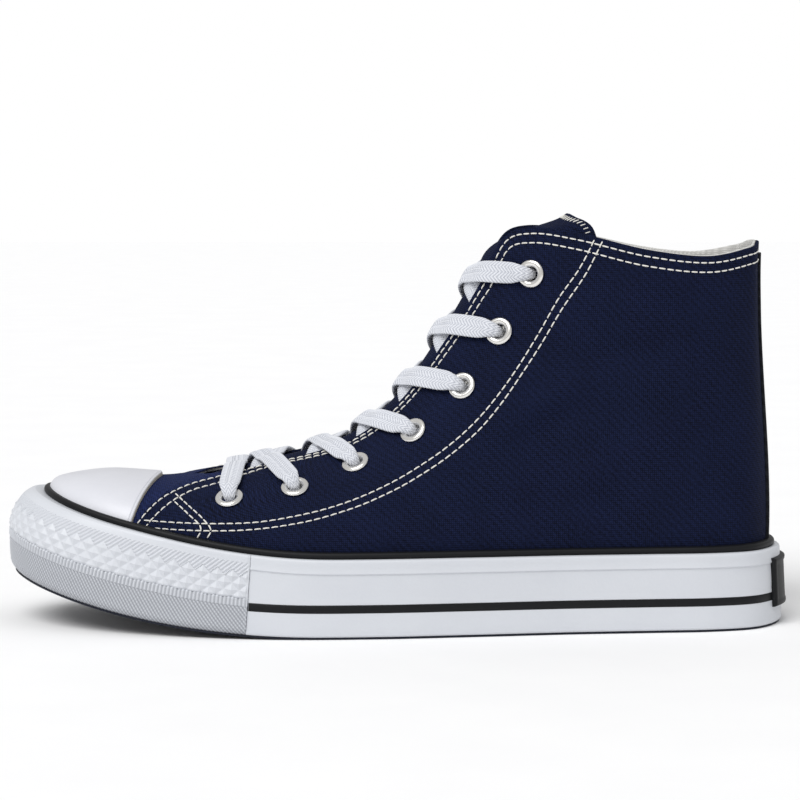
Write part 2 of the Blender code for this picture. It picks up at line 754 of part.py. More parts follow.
def eyelet_mesh():
    """A turned flange with a short barrel, about Z, its seat at z = 0."""
    hole, barrel = EYELET_HOLE, EYELET_HOLE + EYELET_WALL
    shoulder = EYELET_FLANGE - EYELET_ROUND
    corners = [(hole, EYELET_TOP), (shoulder, EYELET_TOP), (EYELET_FLANGE, EYELET_SEAT),
               (barrel, EYELET_SEAT), (barrel, -QUARTER_WALL), (hole, -QUARTER_WALL)]
    rings = []
    for i in range(EYELET_SIDES):
        turn = 2 * math.pi * i / EYELET_SIDES
        rings.append([(r * math.cos(turn), r * math.sin(turn), z) for r, z in corners])
    return loft("eyelet", rings, True)


def make_eyelets(finish, group, cutters, upper):
    mesh = eyelet_mesh()
    mesh.materials.append(finish)
    for side, label in ((OUTER, "outer"), (INNER, "inner")):
        for i, (centre, out) in enumerate(eyelet_places(side)):
            turn = out.to_track_quat("Z", "Y").to_matrix().to_4x4()
            obj = bpy.data.objects.new(f"eyelet_{label}_{i + 1}", mesh)
            obj.matrix_world = Matrix.Translation(centre) @ turn
            group.objects.link(obj)
            bpy.ops.mesh.primitive_cylinder_add(
                vertices=EYELET_SIDES, radius=EYELET_HOLE + EYELET_WALL + GAP, depth=HOLE_DEPTH
            )
            cutter = bpy.context.active_object
            cutter.name = f"hole_{label}_{i + 1}"
            cutter.matrix_world = Matrix.Translation(centre) @ turn
            for old in list(cutter.users_collection):
                old.objects.unlink(cutter)
            cutters.objects.link(cutter)
            cutter.hide_render = True
            cutter.display_type = "WIRE"
            cut = upper.modifiers.new(cutter.name, "BOOLEAN")
            cut.object = cutter
            cut.operation = "DIFFERENCE"


def throat_walk():
    """Places up the throat, and how far along its edge each of them lies."""
    places = np.linspace(place("throat_base"), place("corner") - THROAT_END, PATH_STEPS)
    points = [last_point(OUTER, u, 1.0) for u in places]
    steps = np.linalg.norm(np.diff(points, axis=0), axis=1)
    return places, np.concatenate([[0.0], np.cumsum(steps)])


def unit(vector):
    return vector / np.linalg.norm(vector)


def strip(name, spots):
    """A flat lace through (point, outward direction) pairs."""
    steps = np.arange(len(spots))
    points = np.array([spot[0] for spot in spots])
    outs = np.array([spot[1] for spot in spots])
    rings = []
    for at in np.linspace(0, steps[-1], 2 * len(spots) - 1):
        point = smooth(steps, points, at)
        ahead = smooth(steps, points, min(at + 0.05, steps[-1])) - smooth(steps, points, max(at - 0.05, 0))
        sideways = unit(np.cross(ahead, smooth(steps, outs, at)))
        half = sideways * LACE_WIDTH / 2
        thick = unit(np.cross(sideways, ahead)) * LACE_WALL / 2
        rings.append([point - half - thick, point + half - thick, point + half + thick, point - half + thick])
    return loft(name, rings, False)


def lace_start(side, row, towards_row, walk):
    """A strand's first spots, over an eyelet and the flap's edge, and how it goes on.

    It heads for the other side's eyelet of towards_row. The last two values are the share of
    the way at the flap's edge and a function from such a share to a place up the throat.
    """
    places, walked = walk
    centre, out = [np.array(value) for value in eyelet_places(side)[row]]
    ends = []
    for at in (row, towards_row):
        spot = np.array(eyelet_places(side)[at][0])
        nearest = int(np.argmin([np.linalg.norm(last_point(side, u, 1.0) - spot) for u in places]))
        ends.append((walked[nearest], np.linalg.norm(last_point(side, places[nearest], 1.0) - spot)))

    def place_at(share, lower=0.0):
        along = ends[0][0] + (ends[1][0] - ends[0][0]) * share - lower
        return float(np.interp(along, walked, places))

    wide = np.linalg.norm(last_point(side, place_at(0.5), 1.0) - last_point(-side, place_at(0.5), 1.0))
    edge_share = ends[0][1] / (2 * ends[0][1] + wide)
    u = place_at(edge_share)
    over = unit(normal(side, u, 1.0) + throat_out(u))
    edge = skin(side, u, 1.0, QUARTER_WALL) + over * (LACE_CLEAR + LACE_WALL)
    start = centre + out * (EYELET_TOP + LACE_CLEAR + LACE_WALL / 2)
    towards = edge - start
    towards = unit(towards - out * towards.dot(out))
    rim = start + towards * EYELET_FLANGE
    return [(start, out), (rim, out), (edge, over)], edge_share, place_at


def over_tongue(side, u, share, lift):
    """A strand's spot over the tongue, at this share of the throat's width from one side."""
    across_share = share if side == OUTER else 1 - share
    out = throat_out(u)
    return tongue_point(u, across_share) + out * (TONGUE_WALL + LACE_CLEAR + LACE_WALL / 2 + lift), out


def make_laces(finish, group, cutters):
    """The bar over the lowest eyelets and a crossing over each pair above, each one joined piece."""
    walk = throat_walk()
    near, _, place_at = lace_start(OUTER, 0, 0, walk)
    far = lace_start(INNER, 0, 0, walk)[0]
    bar = near + [over_tongue(OUTER, place_at(0.5, BAR_DROP), 0.5, 0.0)] + far[::-1]
    new_object("lace_bar", strip("lace_bar", bar), finish, group)
    for row in range(1, EYELET_COUNT):
        halves = []
        for side, lift in ((OUTER, LACE_OVER), (INNER, 0.0)):
            spots, edge_share, place_at = lace_start(side, row, row - 1, walk)
            spots.append(over_tongue(side, place_at(0.5), 0.5, lift))
            end_share = (LACE_END - edge_share) / (1 - 2 * edge_share)
            spots.append(over_tongue(side, place_at(LACE_END), end_share, 0.0))
            halves.append(strip(f"lace_{row}", spots))
        obj = new_object(f"lace_crossing_{row}", halves[0], finish, group)
        other = new_object(f"lace_half_{row}", halves[1], finish, cutters)
        other.hide_render = True
        other.display_type = "WIRE"
        join = obj.modifiers.new("join", "BOOLEAN")
        join.object = other
        join.operation = "UNION"


def stand_on_origin(group, cutters):
    """Parents all pieces to one empty that puts the middle of their box over the origin."""
    bpy.context.view_layer.update()
    graph = bpy.context.evaluated_depsgraph_get()
    corners = []
    for obj in group.objects:
        shown = obj.evaluated_get(graph)
        corners += [shown.matrix_world @ Vector(corner) for corner in shown.bound_box]
    corners = np.array(corners)
    shoe = bpy.data.objects.new("shoe", None)
    pieces = list(group.objects) + list(cutters.objects)
    group.objects.link(shoe)
    shoe.location = -(corners.max(axis=0) + corners.min(axis=0)) / 2
    shoe.location.z = 0.0
    for obj in pieces:
        obj.parent = shoe


def build():
    clear_scene()
    group = collection("canvas_sneaker")
    cutters = collection("cutters")
    canvas = material("navy_canvas", (0.013, 0.019, 0.065), 0.85)
    white_rubber = material("white_rubber", (0.80, 0.80, 0.81), 0.45)
    black_rubber = material("black_rubber", (0.012, 0.012, 0.014), 0.5)
    tread_rubber = material("tread_rubber", (0.020, 0.025, 0.055), 0.6)
    lining = material("white_lining", (0.78, 0.78, 0.76), 0.9)
    metal = material("nickel", (0.72, 0.72, 0.72), 0.25, 1.0)
    cotton = material("white_cotton", (0.82, 0.83, 0.85), 0.8)
    make_outsole(tread_rubber, group)
    make_sidewall(white_rubber, group)
    make_bumper(white_rubber, group)
    make_piping(black_rubber, group)
    make_stripe(black_rubber, group)
    make_label(black_rubber, group)
    make_insole(lining, group)
    upper = make_upper(canvas, group)
    make_toe_cap(white_rubber, group)
    make_heel_stay(black_rubber, group)
    make_tongue(canvas, group)
    make_eyelets(metal, group, cutters, upper)
    make_laces(cotton, group, cutters)
    stand_on_origin(group, cutters)


build()
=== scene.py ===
# %% [markdown]
# # A canvas high top
# This lesson dresses one left shoe. Its solids are already there as a fixed frame, with plain faces. Here
# each of them gets the surface that the eye looks for: woven canvas, moulded rubber, thread, braided lace
# and metal. Every piece is shaped on the same last as the solids, so it lands where the frame says without
# any fitting.

# %% The frame and the sizes that belong to it
import json
import math

import bmesh
import bpy
import numpy as np
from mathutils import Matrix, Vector
from mathutils.bvhtree import BVHTree

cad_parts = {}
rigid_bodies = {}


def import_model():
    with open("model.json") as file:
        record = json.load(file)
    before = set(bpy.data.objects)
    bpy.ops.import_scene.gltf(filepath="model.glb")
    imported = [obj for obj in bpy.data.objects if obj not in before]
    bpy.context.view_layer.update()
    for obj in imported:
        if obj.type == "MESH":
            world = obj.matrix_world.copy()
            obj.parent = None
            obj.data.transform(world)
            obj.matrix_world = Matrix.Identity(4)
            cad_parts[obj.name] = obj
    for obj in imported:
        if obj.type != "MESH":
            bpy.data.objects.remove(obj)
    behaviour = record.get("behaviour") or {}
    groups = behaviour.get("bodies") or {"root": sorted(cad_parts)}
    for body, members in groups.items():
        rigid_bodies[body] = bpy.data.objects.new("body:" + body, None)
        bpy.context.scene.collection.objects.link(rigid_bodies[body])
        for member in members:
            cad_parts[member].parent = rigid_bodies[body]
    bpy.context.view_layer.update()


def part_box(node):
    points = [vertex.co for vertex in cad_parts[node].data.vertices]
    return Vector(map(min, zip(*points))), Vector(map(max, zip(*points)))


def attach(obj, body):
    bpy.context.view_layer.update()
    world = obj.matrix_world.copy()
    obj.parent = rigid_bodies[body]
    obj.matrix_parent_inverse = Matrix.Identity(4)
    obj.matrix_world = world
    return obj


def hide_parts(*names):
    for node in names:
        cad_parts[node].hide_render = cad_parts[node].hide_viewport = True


for old in list(bpy.data.objects):
    bpy.data.objects.remove(old)
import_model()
MM = 0.001

# %% [markdown]
# ## The last
# A shoe is made on a last, a block in the shape of a foot. Ours is a set of sections that rise from the sole's
# outline to the top edge. A section is a cubic curve, and its numbers come from a short table. A point on the
# last is found from the side of the foot, a place between the sections (u) and a height on them (v). The sizes
# and tables repeat those of the solids, so that both have one form.

# %% Sizes of the sole
SOLE_LENGTH = 297.5 * MM
BALL_WIDTH = 104 * MM
SIDEWALL_HEIGHT = 29.3 * MM
TOE_RISE = 3.0 * MM
TOE_RISE_START = 0.44
TOE_RISE_RUN = 0.32
TOE_SPRING = 19.4 * MM
SPRING_START = 0.415
SPRING_POWER = 2.2
SIDE_LEAN = 1.5 * MM
LEAN_RUN = 0.2
SIDEWALL_WALL = 4.2 * MM
OUTSOLE_DEPTH = 7.0 * MM
FLANGE_DEPTH = 0.7 * MM
FLANGE_INSET = 0.9 * MM
WAIST_RELIEF = 1.5 * MM
WAIST_START = 0.52
WAIST_END = 0.74
WAIST_RUN = 0.06
INSOLE_WALL = 4.5 * MM
GAP = 0.3 * MM
FIT_GAP = 0.5 * MM
PLAN = (  # how far along, and how far out on the outer and the inner side, as parts of length and width
    (0.000, -0.050, 0.050),
    (0.010, 0.085, 0.185),
    (0.040, 0.215, 0.305),
    (0.100, 0.340, 0.400),
    (0.180, 0.432, 0.455),
    (0.270, 0.492, 0.480),
    (0.370, 0.520, 0.460),
    (0.480, 0.505, 0.400),
    (0.600, 0.455, 0.335),
    (0.720, 0.400, 0.318),
    (0.820, 0.368, 0.328),
    (0.900, 0.340, 0.328),
    (0.960, 0.268, 0.264),
    (0.990, 0.140, 0.140),
    (1.000, 0.000, 0.000),
)

# %% Sizes of the upper
VAMP_HEIGHT = 55 * MM
SHAFT_HEIGHT = 151 * MM
VAMP_WALL = 1.6 * MM
QUARTER_WALL = 2.4 * MM
CAP_WALL = 1.2 * MM
STAY_WALL = 0.9 * MM
STAY_DROP = 4.5 * MM
TONGUE_WALL = 2.0 * MM
TONGUE_GAP = 1.0 * MM
TONGUE_BULGE = 3.2 * MM
TONGUE_LAP = 16 * MM
SECTIONS = (  # name, foot, along, out, climb, rise, flare, back, spread, drop
    ("toe", 0.000, 0.098, 0.000, -0.026, 0.60, 0.000, -0.045, 0.00, 0.00),
    ("toe_corner", 0.022, 0.106, 0.000, -0.018, 0.62, 0.000, -0.028, 0.45, 0.00),
    ("cap_side", 0.075, 0.135, 0.000, -0.010, 0.64, 0.000, -0.010, 0.60, 0.00),
    ("cap_rear", 0.136, 0.195, 0.000, -0.020, 0.60, 0.000, -0.008, 0.60, 0.01),
    ("vamp_end", 0.146, 0.236, 0.000, -0.010, 0.54, 0.000, -0.022, 0.58, 0.02),
    ("throat_base", 0.152, 0.250, 0.060, -0.002, 0.48, 0.000, -0.038, 0.55, 0.08),
    ("quarter_front", 0.160, 0.266, 0.115, 0.006, 0.42, 0.000, -0.044, 0.50, 0.16),
    ("throat_low", 0.255, 0.340, 0.135, 0.045, 0.48, 0.000, -0.018, 0.48, 0.22),
    ("instep", 0.370, 0.440, 0.135, 0.135, 0.45, 0.000, 0.000, 0.44, 0.28),
    ("ankle_bend", 0.470, 0.508, 0.130, 0.300, 0.41, 0.000, 0.010, 0.42, 0.30),
    ("throat_mid", 0.545, 0.568, 0.130, 0.555, 0.38, 0.000, 0.014, 0.42, 0.30),
    ("throat_high", 0.605, 0.612, 0.135, 0.785, 0.36, 0.000, 0.014, 0.42, 0.28),
    ("corner", 0.650, 0.640, 0.145, 0.955, 0.34, 0.000, 0.014, 0.42, 0.26),
    ("corner_top", 0.700, 0.676, 0.215, 1.000, 0.33, 0.000, 0.006, 0.16, 0.30),
    ("collar_front", 0.765, 0.735, 0.290, 0.975, 0.33, 0.000, 0.000, 0.02, 0.32),
    ("collar_side", 0.840, 0.815, 0.335, 0.915, 0.33, 0.000, 0.000, 0.00, 0.34),
    ("collar_back", 0.925, 0.888, 0.280, 0.890, 0.33, 0.008, -0.001, 0.00, 0.34),
    ("collar_heel", 0.975, 0.942, 0.180, 0.920, 0.33, 0.022, -0.004, 0.00, 0.34),
    ("stay_edge", 0.995, 0.954, 0.090, 0.940, 0.33, 0.030, -0.005, 0.00, 0.34),
    ("heel", 1.000, 0.958, 0.000, 0.945, 0.33, 0.033, -0.006, 0.00, 0.34),
)
OUTER, INNER = -1, 1
SIDES = {"outer": OUTER, "inner": INNER}


# %% Smooth curves through a few values
def smooth(stations, values, at):
    """The values at these places on a smooth curve through the values at the stations."""
    at = np.asarray(at, float)
    slopes = np.gradient(values, stations, axis=0)
    i = np.clip(np.searchsorted(stations, at) - 1, 0, len(stations) - 2)
    span = stations[i + 1] - stations[i]
    t = (at - stations[i]) / span
    rest = (1,) * (np.ndim(values) - 1)
    t, span = t.reshape(t.shape + rest), span.reshape(span.shape + rest)
    start = (1 + 2 * t) * (1 - t) ** 2 * values[i] + t * (1 - t) ** 2 * span * slopes[i]
    return start + t * t * (3 - 2 * t) * values[i + 1] + t * t * (t - 1) * span * slopes[i + 1]


def eased(share):
    """0 to 1 with flat ends."""
    share = np.clip(share, 0.0, 1.0)
    return share * share * (3 - 2 * share)


def unit(vectors):
    return vectors / np.maximum(np.linalg.norm(vectors, axis=-1, keepdims=True), 1e-12)


# %% The sole's outline
def plan_table():
    """The outline once round from the toe, with rows more at each end: angle and y."""
    along, outer, inner = np.array(PLAN).T
    turn = 2 * math.pi
    angles = np.arccos(1 - 2 * along)
    angles = np.concatenate([angles, turn - angles[-2:0:-1]])
    sides = np.concatenate([-outer, inner[-2:0:-1]]) * BALL_WIDTH
    sides -= (sides.max() + sides.min()) / 2
    angles = np.concatenate([angles[-2:] - turn, angles, angles[:3] + turn])
    return angles, np.concatenate([sides[-2:], sides, sides[:3]])


PLAN_ANGLES, PLAN_SIDES = plan_table()


def outline(loop):
    """Points of the sole's outline; loop runs from 0 at the toe, 1 at the heel, to 2 again."""
    angle = math.pi * (np.asarray(loop, float) % 2.0)
    return np.stack([-np.cos(angle) * SOLE_LENGTH / 2, smooth(PLAN_ANGLES, PLAN_SIDES, angle)], -1)


def inset_outline(loop, inset):
    """The outline moved inwards."""
    step = 1e-4
    before, after = outline(loop - step), outline(loop + step)
    inward = unit(np.stack([before[..., 1] - after[..., 1], after[..., 0] - before[..., 0]], -1))
    return (before + after) / 2 + inward * np.asarray(inset)[..., None]


def share_of(loop):
    return (1 - np.cos(math.pi * np.asarray(loop, float))) / 2


def loop_at(share, side):
    turn = np.arccos(np.clip(1 - 2 * np.asarray(share, float), -1, 1)) / math.pi
    return turn if side == OUTER else 2 - turn


def ground(x):
    """Height and slope of the sole's underside."""
    start = (SPRING_START - 0.5) * SOLE_LENGTH
    reach = SPRING_START * SOLE_LENGTH
    share = np.maximum(0.0, (start - x) / reach)
    return TOE_SPRING * share**SPRING_POWER, -TOE_SPRING * SPRING_POWER * share ** (SPRING_POWER - 1) / reach


def sidewall_top(loop):
    return SIDEWALL_HEIGHT + TOE_RISE * eased((TOE_RISE_START - share_of(loop)) / TOE_RISE_RUN)


def sole_point(loop, inset, height):
    """Points this far inside the sole's side and this high over its underside."""
    loop, inset, height = np.broadcast_arrays(*[np.asarray(x, float) for x in (loop, inset, height)])
    lean = SIDE_LEAN * eased(share_of(loop) / LEAN_RUN) * height / SIDEWALL_HEIGHT
    x, y = np.moveaxis(inset_outline(loop, inset + lean), -1, 0)
    z, slope = ground(x)
    size = np.hypot(1, slope)
    return np.stack([x - slope / size * height, y, z + height / size], -1)


SHIFT_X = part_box("outsole")[1].x - (SOLE_LENGTH / 2 - FLANGE_INSET)
SHIFT_Y = (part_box("outsole")[0].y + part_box("outsole")[1].y) / 2
SHIFT = np.array([SHIFT_X, SHIFT_Y, 0.0])
print("the frame's shift in mm:", np.round(SHIFT / MM, 2))


# %% Points on the last
SECTION_NAMES = [row[0] for row in SECTIONS]
SECTION_VALUES = np.array([row[1:] for row in SECTIONS])
HEEL = float(len(SECTIONS) - 1)


def place(name):
    return float(SECTION_NAMES.index(name))


def middle(x):
    """The shoe's middle line: it bends to the inner side towards the toe."""
    tip, heel = outline(0.0)[1], outline(1.0)[1]
    return heel + (tip - heel) * eased(0.5 - x / SOLE_LENGTH)


def last_point(side, u, v):
    """Points of the last: v is -1 at the sole, 0 at the sidewall's top and 1 at the top edge."""
    u, v = np.broadcast_arrays(np.asarray(u, float), np.asarray(v, float))
    foot, along, out, climb, rise, flare, back, spread, drop = np.moveaxis(
        smooth(np.arange(len(SECTIONS)), SECTION_VALUES, u), -1, 0
    )
    loop = loop_at(np.clip(foot, 0, 1), side)
    out = np.where(u <= place("vamp_end"), 0.0, np.maximum(0.0, out))
    inset = SIDEWALL_WALL + FIT_GAP + QUARTER_WALL
    top = sidewall_top(loop)
    low = OUTSOLE_DEPTH + GAP
    in_sole = sole_point(loop, inset, low + (1 + np.minimum(v, 0)) * (top - low))
    a = sole_point(loop, inset, top)
    run = a - sole_point(loop, inset, 0.9 * top)
    away = sole_point(loop, 0.0, top) - a
    x = (along - 0.5) * SOLE_LENGTH
    y = middle(x) + side * out * BALL_WIDTH
    d = np.stack([x, y, VAMP_HEIGHT + climb * (SHAFT_HEIGHT - VAMP_HEIGHT)], -1)
    tall = d[..., 2] - a[..., 2]
    wide = np.abs(a[..., 1] - d[..., 1])
    b = a + unit(run) * (rise * tall)[..., None] + unit(away) * (flare * BALL_WIDTH)[..., None]
    c = d + np.stack([back * SOLE_LENGTH, side * spread * wide, -drop * tall], -1)
    t = np.maximum(v, 0)[..., None]
    w = 1 - t
    over = w**3 * a + 3 * w * w * t * b + 3 * w * t * t * c + t**3 * d
    return np.where(v[..., None] < 0, in_sole, over)


def directions(side, u, v):
    """The last's outward direction and its upward direction at these places."""
    step = 1e-3
    u, v = np.broadcast_arrays(np.asarray(u, float), np.asarray(v, float))
    along = last_point(side, np.minimum(u + step, HEEL), v) - last_point(side, np.maximum(u - step, 0), v)
    up = last_point(side, u, np.minimum(v + step, 1)) - last_point(side, u, np.maximum(v - step, -1))
    out = -side * np.cross(along, up)
    ridge = (v >= 1.0) & (u <= place("vamp_end"))
    out[..., 1] = np.where(ridge, 0.0, out[..., 1])
    return unit(out), unit(up)


# %% [markdown]
# ## Creases
# A canvas shaft that has been worn or handled has soft folds where the ankle bends, and a faint hollow behind
# the ball of the foot. They are placed as troughs (minus) and ridges (plus) along short lines on the shoe's
# side, in millimetres from the sole's middle and over the ground. The lining moves with the canvas.

# %% Soft folds of the canvas
FOLDS_FROM = 6.0  # the section behind which the folds come up
FOLDS_RUN = 1.5  # sections that it takes them
FOLDS_CLIMB = 0.25  # height on the sections over which they come up from the sole
CREASES = (  # from x and z, to x and z, height and width
    (30, 62, 78, 88, -1.3, 6.0),
    (34, 74, 84, 102, 1.0, 6.0),
    (46, 50, 96, 66, 0.9, 7.0),
    (58, 98, 118, 112, -1.1, 7.0),
    (92, 58, 132, 84, -0.9, 8.0),
    (-14, 44, 22, 50, -0.7, 5.0),
    (-52, 36, -30, 52, -0.6, 5.0),
    (100, 118, 136, 126, 0.8, 8.0),
    (40, 112, 62, 132, -0.5, 5.0),
)


def crease(points):
    """How far the folds push these points out."""
    x, z = points[..., 0] / MM, points[..., 2] / MM
    moved = np.zeros(x.shape)
    for from_x, from_z, to_x, to_z, height, width in CREASES:
        run = np.array([to_x - from_x, to_z - from_z], float)
        share = ((x - from_x) * run[0] + (z - from_z) * run[1]) / (run**2).sum()
        beside = ((x - from_x) * run[1] - (z - from_z) * run[0]) / np.hypot(*run)
        along = np.exp(-(((share - 0.5) / 0.42) ** 2) * 2)
        moved += height * MM * along * np.exp(-((beside / width) ** 2))
    return moved


def skin(side, u, v, offset, rise=0.0):
    """Points over the last by this offset, moved up along it by this rise, folds included."""
    base = last_point(side, u, v)
    out, up = directions(side, u, v)
    offset = np.broadcast_to(offset, base.shape[:-1])
    behind = eased((np.broadcast_to(u, offset.shape) - FOLDS_FROM) / FOLDS_RUN)
    folds = crease(base) * eased(v / FOLDS_CLIMB) * behind
    return base + out * (offset + folds)[..., None] + up * np.broadcast_to(rise, offset.shape)[..., None]


# %% [markdown]
# ## Making meshes
# Nearly every part of a shoe is a sheet with some thickness: canvas, lining, rubber, tongue. So one helper
# makes a closed wall from two grids of points, its face and its back, with a rim round every edge and round
# any hole. A grid is quick to work out with numpy, and its rows and columns give the cloth its thread
# directions.

# %% From grids to closed pieces
def grid_faces(front, back, kept=None, wrap=False, joined=()):
    """Points and faces of the wall between two grids. joined lists rows that share their last point."""
    rows, across = front.shape[:2]
    index = np.arange(rows * across).reshape(rows, across)
    for one, two in joined:
        index[two, -1] = index[one, -1]
    if wrap:
        index = np.concatenate([index, index[:1]])
    quads = np.stack([index[:-1, :-1], index[1:, :-1], index[1:, 1:], index[:-1, 1:]], -1)
    quads = quads.reshape(-1, 4) if kept is None else quads[kept]
    size = rows * across
    edges = np.concatenate([quads[:, [i, (i + 1) % 4]] for i in range(4)])
    rim = edges[~np.isin(edges[:, 0] * size + edges[:, 1], edges[:, 1] * size + edges[:, 0])]
    walls = np.stack([rim[:, 1], rim[:, 0], rim[:, 0] + size, rim[:, 1] + size], -1)
    faces = np.concatenate([quads, quads[:, ::-1] + size, walls])
    points = np.concatenate([front.reshape(-1, 3), back.reshape(-1, 3)])
    corner = points[quads]
    facing = np.cross(corner[:, 1] - corner[:, 0], corner[:, 3] - corner[:, 0])
    if (facing * (corner[:, 0] - points[quads[:, 0] + size])).sum() < 0:
        faces = faces[:, ::-1]
    return points, faces


def add_piece(name, points, faces, finish, replaced=(), cloth=None, sharp=40):
    """An object from points in the last's own place, riding on the shoe. cloth gives UVs in millimetres."""
    points = np.asarray(points, float).reshape(-1, 3)
    used, spots = np.unique(np.concatenate([np.ravel(face) for face in faces]), return_inverse=True)
    sizes = [len(face) for face in faces]
    ends = np.cumsum(sizes)
    corners = spots.tolist()
    mesh = bpy.data.meshes.new(name)
    polygons = [corners[end - size:end] for size, end in zip(sizes, ends)]
    mesh.from_pydata((points[used] + SHIFT).tolist(), [], polygons)
    mesh.materials.append(finish)
    if cloth is not None:
        layer = mesh.uv_layers.new(name="cloth")
        flat = np.asarray(cloth, float).reshape(-1, 2)
        flat = np.concatenate([flat, flat])[used]
        layer.data.foreach_set("uv", flat[spots].ravel())
    mesh.shade_smooth()
    mesh.set_sharp_from_angle(angle=math.radians(sharp))
    piece = bpy.data.objects.new(name, mesh)
    bpy.context.scene.collection.objects.link(piece)
    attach(piece, "root")
    if replaced:
        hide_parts(*replaced)
    print(f"{name}: {len(mesh.polygons)} faces")
    return piece


def tube_faces(rings, closed):
    """Faces round a row of rings with equal counts, joined end to end or capped."""
    count, size = rings.shape[:2]
    index = np.arange(count * size).reshape(count, size)
    if closed:
        index = np.concatenate([index, index[:1]])
    right = np.roll(index, -1, axis=1)
    quads = np.stack([index[:-1], index[1:], right[1:], right[:-1]], -1).reshape(-1, 4)
    corner = rings.reshape(-1, 3)[quads]
    middle_of_ring = rings.mean(axis=1)[quads[:, 0] // size]
    facing = np.cross(corner[:, 1] - corner[:, 0], corner[:, 3] - corner[:, 0])
    turned = (facing * (corner[:, 0] - middle_of_ring)).sum() < 0
    faces = quads[:, ::-1].tolist() if turned else quads.tolist()
    if not closed:
        start, end = index[0].tolist(), index[-1].tolist()
        faces += [start[::-1], end] if turned else [start, end[::-1]]
    return faces


def band(name, profile, loops, closed, finish, replaced=(), sharp=40):
    """A strip along the sole's side. profile(loops) gives its corners, as insets and heights."""
    insets, heights = profile(loops)
    rings = sole_point(loops[:, None], insets, heights)
    return add_piece(name, rings, tube_faces(rings, closed), finish, replaced, sharp=sharp)


# %% [markdown]
# ## Colours and nodes
# Colours are written as the sRGB hex values that a colour picker shows, and one function turns them into the
# linear values that the renderer wants. One small function adds any node with its settings and its links, so a
# material reads from top to bottom like a recipe.

# %% Helpers for materials
def linear(code):
    """A hex colour as linear red, green, blue and alpha."""
    parts = [int(code[i:i + 2], 16) / 255 for i in (1, 3, 5)]
    return (*[c / 12.92 if c <= 0.04045 else ((c + 0.055) / 1.055) ** 2.4 for c in parts], 1.0)


def add(tree, kind, inputs=None, **settings):
    """A node with its settings, its inputs' values, and links where an input is a socket."""
    made = tree.nodes.new(kind)
    for name, value in settings.items():
        setattr(made, name, value)
    for name, value in (inputs or {}).items():
        if isinstance(value, bpy.types.NodeSocket):
            tree.links.new(value, made.inputs[name])
        else:
            made.inputs[name].default_value = value
    return made


def new_material(name):
    """An empty material, its node tree and its shader."""
    made = bpy.data.materials.new(name)
    made.use_nodes = True
    return made, made.node_tree, made.node_tree.nodes["Principled BSDF"]


def set_sockets(shader, values):
    """Numbers and colours that are the same all over, on the shader's own sockets."""
    for name, value in values.items():
        shader.inputs[name].default_value = value


def surface(tree, shader, share, dark, light, height, strength, depth):
    """Colour between two hex values by one pattern, and relief by another, its depth in millimetres."""
    colours = {"Factor": share, 6: linear(dark), 7: linear(light)}
    colour = add(tree, "ShaderNodeMix", colours, data_type="RGBA")
    tree.links.new(colour.outputs[2], shader.inputs["Base Color"])
    bump = add(tree, "ShaderNodeBump", {"Height": height, "Strength": strength, "Distance": depth * MM})
    tree.links.new(bump.outputs["Normal"], shader.inputs["Normal"])


def in_millimetres(tree):
    """The place on the object in millimetres, for patterns that need no thread direction."""
    spot = {0: add(tree, "ShaderNodeTexCoord").outputs["Object"], "Scale": 1 / MM}
    return add(tree, "ShaderNodeVectorMath", spot, operation="SCALE").outputs["Vector"]


def wave_scale(period):
    """Blender's wave texture has a period of pi / 10 at a scale of 1."""
    return math.pi / 10 / period


# %% [markdown]
# ## Navy cotton canvas
# The upper is a tight cotton canvas, dyed navy. From a step away it reads as one deep blue, and close up the
# threads catch a little light and the gaps stay dark. Cotton has fuzz, so grazing light gives it a soft sheen.
# The threads of the real cloth lie 0.45 mm apart, just over one pixel here, so they are drawn 0.75 mm apart.

# %% Woven cloth
def woven(name, dark, light, thread, depth, roughness, sheen, twill=0.2, worn=0.25):
    """A weave from two crossed sets of threads with a diagonal over them, thread apart in millimetres."""
    made, tree, shader = new_material(name)
    cloth = add(tree, "ShaderNodeUVMap", uv_map="cloth").outputs["UV"]
    threads = {"Vector": cloth, "Scale": wave_scale(thread), "Distortion": 0.6, "Detail": 1.0,
               "Detail Scale": 2.0}
    warp = add(tree, "ShaderNodeTexWave", threads, bands_direction="X").outputs["Fac"]
    weft = add(tree, "ShaderNodeTexWave", threads, bands_direction="Y").outputs["Fac"]
    diagonal = {"Vector": cloth, "Scale": wave_scale(thread * 2.2), "Distortion": 0.5}
    slant = add(tree, "ShaderNodeTexWave", diagonal, bands_direction="DIAGONAL").outputs["Fac"]
    crossed = add(tree, "ShaderNodeMath", {0: warp, 1: weft}, operation="MULTIPLY").outputs[0]
    height = add(tree, "ShaderNodeMix", {"Factor": twill, 2: crossed, 3: slant}).outputs[0]
    shade = add(tree, "ShaderNodeTexNoise", {"Vector": cloth, "Scale": 0.06, "Detail": 3.0}).outputs["Fac"]
    slub = add(tree, "ShaderNodeTexNoise", {"Vector": cloth, "Scale": 1.1, "Detail": 2.0}).outputs["Fac"]
    uneven = add(tree, "ShaderNodeMix", {"Factor": worn, 2: height, 3: shade}).outputs[0]
    mixed = add(tree, "ShaderNodeMix", {"Factor": 0.45, 2: uneven, 3: slub}).outputs[0]
    spread = add(tree, "ShaderNodeMapRange", {"Value": mixed, 1: 0.25, 2: 0.7}).outputs[0]
    surface(tree, shader, spread, dark, light, mixed, 0.8, depth)
    set_sockets(shader, {"Roughness": roughness, "Specular IOR Level": 0.08, "Sheen Weight": sheen,
                         "Sheen Roughness": 0.5, "Sheen Tint": linear(light)})
    return made


